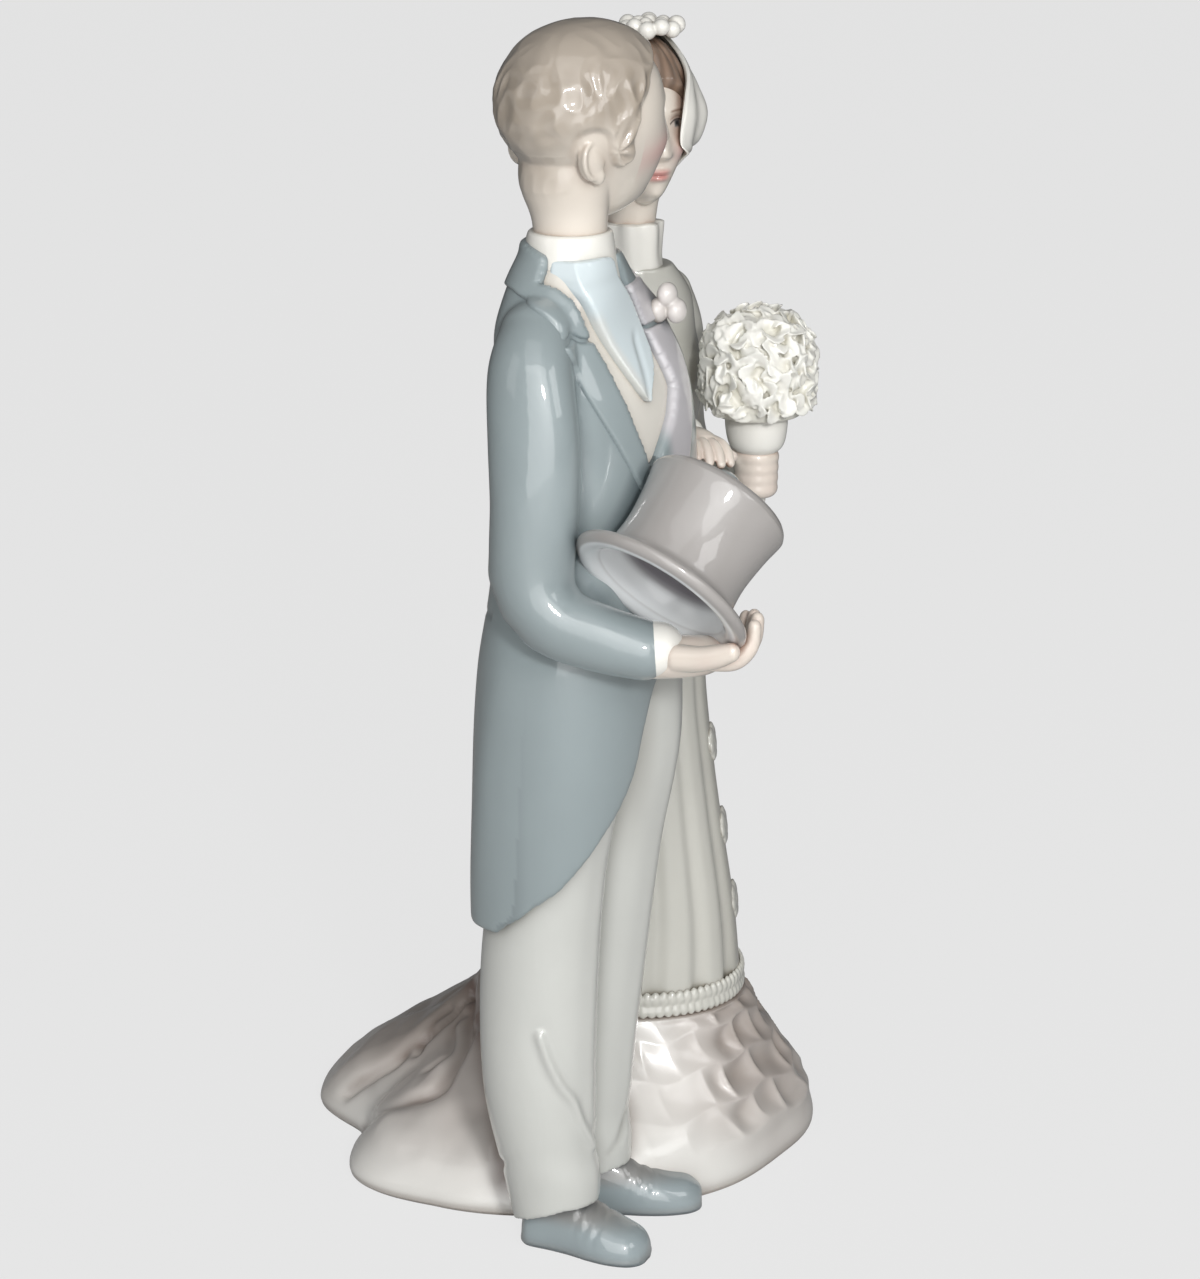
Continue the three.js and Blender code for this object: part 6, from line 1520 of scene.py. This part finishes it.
class PORCELAIN_OT_bouquet(PorcelainPiece, Operator):
    """Builds the bouquet of curled petals, its smooth holder and the bride's hands."""

    bl_idname = "porcelain.bouquet"
    bl_label = "Bouquet, holder and hands"

    def petal(self, long, wide, curl, ruffle):
        """A thin cupped petal that stands along +Z and curls outward along +X at its ruffled rim."""
        mesh = sphere(14, 9)
        p = coords(mesh)
        up = (p[:, 2] + 1) / 2
        across = p[:, 1] * wide * (0.45 + 0.55 * ease(0, 0.7, up))
        wave = 0.22 * up * np.sin(2.6 * across / wide + ruffle)
        bend = curl * up**2 * long - 0.3 * across**2 / wide + wave
        set_coords(mesh, np.stack([bend + 0.42 * p[:, 0], across, up * long * (1 - 0.25 * curl * up)], 1))
        return mesh

    def dome(self, rise):
        rise = np.clip(rise, 0, 1)
        return 9.3 * np.minimum(1, 0.9 + rise) * (1 - rise**4.5) ** 0.5

    def build(self):
        tall = 16.4
        rng = np.random.default_rng(5)
        heights = np.array([0, 0.05, 0.14, 0.3, 0.45, 0.6, 0.72, 0.82, 0.9, 0.96, 0.99])
        wide = self.dome(heights) - 1.5
        parts = [upright(np.stack([tall * heights - 0.6, 0 * wide, 0 * wide, wide, wide], 1), 48, 30)]
        count = self.detail.petals
        for k in range(count):
            rise = 1 - ((k + 0.4) / count) * 0.98
            radius = float(self.dome(rise))
            slope = math.atan2(float(self.dome(rise - 0.03) - self.dome(min(rise + 0.03, 1))), 0.06 * tall)
            angle = k * math.pi * (3 - math.sqrt(5))
            flat = math.cos(slope)
            way = Vector((math.cos(angle) * flat, math.sin(angle) * flat, math.sin(slope)))
            turn = Vector((0, 0, 1)).rotation_difference(way).to_matrix().to_4x4()
            spot = Vector((radius * math.cos(angle), radius * math.sin(angle), tall * rise)) - way * 2.2
            spin = Matrix.Rotation(rng.uniform(0, TURN), 4, "Z")
            spin = spin @ Matrix.Rotation(rng.uniform(-0.1, 0.5), 4, "Y")
            long, broad = rng.uniform(2.5, 3.2), rng.uniform(1.4, 2.1)
            shape = self.petal(long, broad, rng.uniform(0.3, 0.75), rng.uniform(0, TURN))
            parts.append(turned(shape, Matrix.Translation(spot) @ turn @ spin))
        flowers = fused(turned(merged(*parts), Matrix.Translation(BOUQUET_BASE)), 0.2, 5)
        p = coords(flowers) - np.array(BOUQUET_BASE)
        rise = np.clip(p[:, 2] / tall, 0, 1)
        depth = self.dome(np.clip(rise, 0, 0.985)) + 0.6 - np.hypot(p[:, 0], p[:, 1])
        shade = self.tone("flowers") * (0.88, 0.87, 0.83)
        tint = blend(self.tone("flowers"), shade, ease(0.6, 2.2, depth) * ease(1.0, 0.85, rise))
        material = glaze("bouquet glaze", (200, 195, 184), 0.0012, 0.4, 0.45, 0.06)
        show("bouquet", flowers, material, ["bouquet_flowers"], tint)

        x, y, z = BOUQUET_BASE
        rows = [[z - 15, x, y, 0.9, 0.9], [z - 14.6, x, y, 1.5, 1.5], [z - 10, x, y, 1.6, 1.6],
                [z - 7.4, x, y, 2.6, 2.6], [z - 5.6, x, y, 4.2, 4.2], [z - 3, x, y, 4.8, 4.8],
                [z - 0.3, x, y, 4.9, 4.9]]
        holder = upright(rows, 108, 60, fold=lambda a, t: 0.1 * ease(0.5, 1, t) * np.cos(3 * a))
        linen = glaze("holder glaze", (150, 148, 140), 0.002, 0.8)
        show("bouquet holder", holder, linen, ["bouquet_holder"], self.tone("linen"))

        material = glaze("bride hand glaze", (176, 140, 122), 0.0014, 0.95)
        fist = self.fist()
        show("bride left hand", fist, material, ["bride_left_hand"], skin_tint(self, fist))
        aim = (ON_SLEEVE - BRIDE_RIGHT_WRIST).normalized()
        right = hand(0.84, (8, 22, 20), (30, (16, 0, 0)), 4, -1)
        right = place_hand(right, BRIDE_RIGHT_WRIST + aim * 2.2, aim, Vector((-0.2, 0, -1)))
        right = fused(right, self.detail.face_grain * 900, 4)
        show("bride right hand", right, material, ["bride_right_hand"], skin_tint(self, right))

    def fist(self):
        away = BRIDE_LEFT_WRIST - FIST
        back = math.atan2(away.y, away.x)
        x, y, z = FIST
        parts = []
        for k in range(4):
            height = z + 2.7 - 1.65 * k
            ring = []
            for step in range(9):
                angle = back + math.radians(28 + 33 * step)
                reach = 2.1 - 0.05 * k
                out = [x + reach * math.cos(angle), y + reach * math.sin(angle)]
                ring.append([*out, height - 0.05 * step, 1.6 - 0.016 * step])
            parts.append(limb(ring, 24, 40, side=(0, 0, 1), cap=4))
        thumb = []
        for i in range(4):
            angle = back + math.radians(8 + 34 * i)
            out = [x + 3.1 * math.cos(angle), y + 3.1 * math.sin(angle)]
            thumb.append([*out, z + 3.7 - 0.5 * i, 1.2 - 0.08 * i])
        heel = FIST + Vector((math.cos(back), math.sin(back), 0)) * 2.1
        middle = BRIDE_LEFT_WRIST.lerp(heel, 0.6)
        palm = [[*BRIDE_LEFT_WRIST, 2.3, 2.3], [*middle, 2.6, 2.6], [*heel, 3.6, 2]]
        parts += [limb(thumb, 24, 30, side=(0, 0, 1), cap=4), limb(palm, 40, 30, side=(0, 0, 1))]
        return fused(merged(*parts), 0.2, 26)


# Stage


VIEW_PLACE = Vector((-445.5, -227.0, 254.8))
VIEW_TILT = 72.43
VIEW_TURN = -63
VIEW_LENS = 97.5
TO_VIEWER = Vector((-0.891, -0.454, 0))
TO_RIGHT = Vector((0.454, -0.891, 0))


class PORCELAIN_OT_stage(PorcelainPiece, Operator):
    """Sets up the pale floor, the studio lamps and the camera at the photo's viewpoint."""

    bl_idname = "porcelain.stage"
    bl_label = "Stage, lamps and camera"

    def by_camera(self, tree, unseen, seen, out):
        """Shows one shader to the camera and the other to every other ray."""
        path = new_node(tree, "ShaderNodeLightPath")
        mix = new_node(tree, "ShaderNodeMixShader")
        tree.links.new(path.outputs["Is Camera Ray"], mix.inputs["Fac"])
        tree.links.new(unseen, mix.inputs[1])
        tree.links.new(seen, mix.inputs[2])
        tree.links.new(mix.outputs["Shader"], out.inputs["Surface"])

    def floor(self):
        made = bmesh.new()
        bmesh.ops.create_grid(made, x_segments=1, y_segments=1, size=8.0)
        mesh = to_mesh(made)
        material = bpy.data.materials.new("pale floor")
        material.use_nodes = True
        tree = material.node_tree
        link = tree.links.new
        out = tree.nodes["Material Output"]
        shader = tree.nodes["Principled BSDF"]
        shader.inputs["Roughness"].default_value = 0.9
        place = new_node(tree, "ShaderNodeTexCoord")
        grain = new_node(tree, "ShaderNodeTexNoise", {"Scale": 30})
        link(place.outputs["Object"], grain.inputs["Vector"])
        tone = new_node(tree, "ShaderNodeMapRange", {"To Min": 0.5, "To Max": 0.52})
        link(grain.outputs["Fac"], tone.inputs["Value"])
        link(tone.outputs["Result"], shader.inputs["Base Color"])
        shade = new_node(tree, "ShaderNodeBsdfDiffuse", {"Color": (0.55, 0.55, 0.55, 1)})
        glow = new_node(tree, "ShaderNodeEmission", {"Color": (0.85, 0.85, 0.85, 1)})
        seen = new_node(tree, "ShaderNodeMixShader", {"Fac": 0.89})
        link(shader.outputs["BSDF"], seen.inputs[1])
        link(glow.outputs["Emission"], seen.inputs[2])
        self.by_camera(tree, shade.outputs["BSDF"], seen.outputs["Shader"], out)
        mesh.materials.append(material)
        floor = bpy.data.objects.new("floor", mesh)
        bpy.context.scene.collection.objects.link(floor)

    def world(self):
        world = bpy.data.worlds.new("studio")
        bpy.context.scene.world = world
        world.use_nodes = True
        tree = world.node_tree
        seen = tree.nodes["Background"]
        seen.inputs["Color"].default_value = (0.783, 0.783, 0.783, 1)
        unseen = new_node(tree, "ShaderNodeBackground", {"Color": (0.1, 0.1, 0.1, 1)})
        out = tree.nodes["World Output"]
        self.by_camera(tree, unseen.outputs["Background"], seen.outputs["Background"], out)

    def lamp(self, name, target, offset, size, power, shape="RECTANGLE"):
        """An area lamp aimed at a target and offset from it toward the viewer, to the right and up."""
        toward, aside, above = offset
        light = bpy.data.lights.new(name, "AREA")
        light.shape = shape
        light.size, light.size_y = size
        light.energy = power
        lamp = bpy.data.objects.new(name, light)
        lamp.location = target + TO_VIEWER * toward + TO_RIGHT * aside + Vector((0, 0, above))
        lamp.rotation_euler = (target - lamp.location).to_track_quat("-Z", "Y").to_euler()
        bpy.context.scene.collection.objects.link(lamp)

    def build(self):
        self.floor()
        self.world()
        middle = PLACE @ Vector((12, 4, 95))
        head = middle + Vector((0, 0, 0.06))
        self.lamp("flash", middle, (0.9, 0.2, 0.4), (0.12, 0.12), 3.9, "DISK")
        self.lamp("front softbox", middle, (0.9, 0, 0.24), (0.9, 0.9), 5.5)
        self.lamp("high softbox", middle, (0.6, -0.1, 0.8), (0.7, 0.7), 1.3)
        self.lamp("left softbox", middle, (0.4, -0.7, 0.4), (0.3, 0.5), 0.4)
        self.lamp("right softbox", head, (0.36, 0.42, 0.2), (0.22, 0.22), 0.46)
        view = bpy.data.cameras.new("photo view")
        view.sensor_fit = "VERTICAL"
        view.sensor_height = 36
        view.lens = VIEW_LENS
        camera = bpy.data.objects.new("photo view", view)
        camera.location = PLACE @ VIEW_PLACE
        camera.rotation_euler = Euler((math.radians(VIEW_TILT), 0, math.radians(VIEW_TURN)))
        bpy.context.scene.collection.objects.link(camera)
        bpy.context.scene.camera = camera
        bpy.context.scene.view_settings.view_transform = "Standard"


BUILD_ORDER = (
    PORCELAIN_OT_tailcoat,
    PORCELAIN_OT_facings,
    PORCELAIN_OT_waistcoat,
    PORCELAIN_OT_trousers,
    PORCELAIN_OT_shoes,
    PORCELAIN_OT_hat,
    PORCELAIN_OT_groom_hands,
    PORCELAIN_OT_groom_head,
    PORCELAIN_OT_buttonhole,
    PORCELAIN_OT_bodice,
    PORCELAIN_OT_skirt,
    PORCELAIN_OT_flounce,
    PORCELAIN_OT_bride_head,
    PORCELAIN_OT_veil,
    PORCELAIN_OT_bouquet,
    PORCELAIN_OT_stage,
)


class PORCELAIN_PT_panel(Panel):
    """Lists the colours, the details and a button for every piece."""

    bl_idname = "PORCELAIN_PT_panel"
    bl_label = "Porcelain couple"
    bl_space_type = "VIEW_3D"
    bl_region_type = "UI"
    bl_category = "Porcelain"

    def draw(self, context):
        layout = self.layout
        for settings in (context.scene.porcelain_colours, context.scene.porcelain_detail):
            box = layout.box()
            for name in settings.__annotations__:
                box.prop(settings, name)
        column = layout.column(align=True)
        for piece in BUILD_ORDER:
            column.operator(piece.bl_idname)


CLASSES = (PorcelainColours, PorcelainDetail, *BUILD_ORDER, PORCELAIN_PT_panel)


def register():
    for cls in CLASSES:
        bpy.utils.register_class(cls)
    bpy.types.Scene.porcelain_colours = PointerProperty(type=PorcelainColours)
    bpy.types.Scene.porcelain_detail = PointerProperty(type=PorcelainDetail)


def unregister():
    del bpy.types.Scene.porcelain_detail
    del bpy.types.Scene.porcelain_colours
    for cls in reversed(CLASSES):
        bpy.utils.unregister_class(cls)


def main():
    register()
    bpy.ops.porcelain.tailcoat()
    bpy.ops.porcelain.facings()
    bpy.ops.porcelain.waistcoat()
    bpy.ops.porcelain.trousers()
    bpy.ops.porcelain.shoes()
    bpy.ops.porcelain.hat()
    bpy.ops.porcelain.groom_hands()
    bpy.ops.porcelain.groom_head()
    bpy.ops.porcelain.buttonhole()
    bpy.ops.porcelain.bodice()
    bpy.ops.porcelain.skirt()
    bpy.ops.porcelain.flounce()
    bpy.ops.porcelain.bride_head()
    bpy.ops.porcelain.veil()
    bpy.ops.porcelain.bouquet()
    bpy.ops.porcelain.stage()


if __name__ == "__main__":
    main()
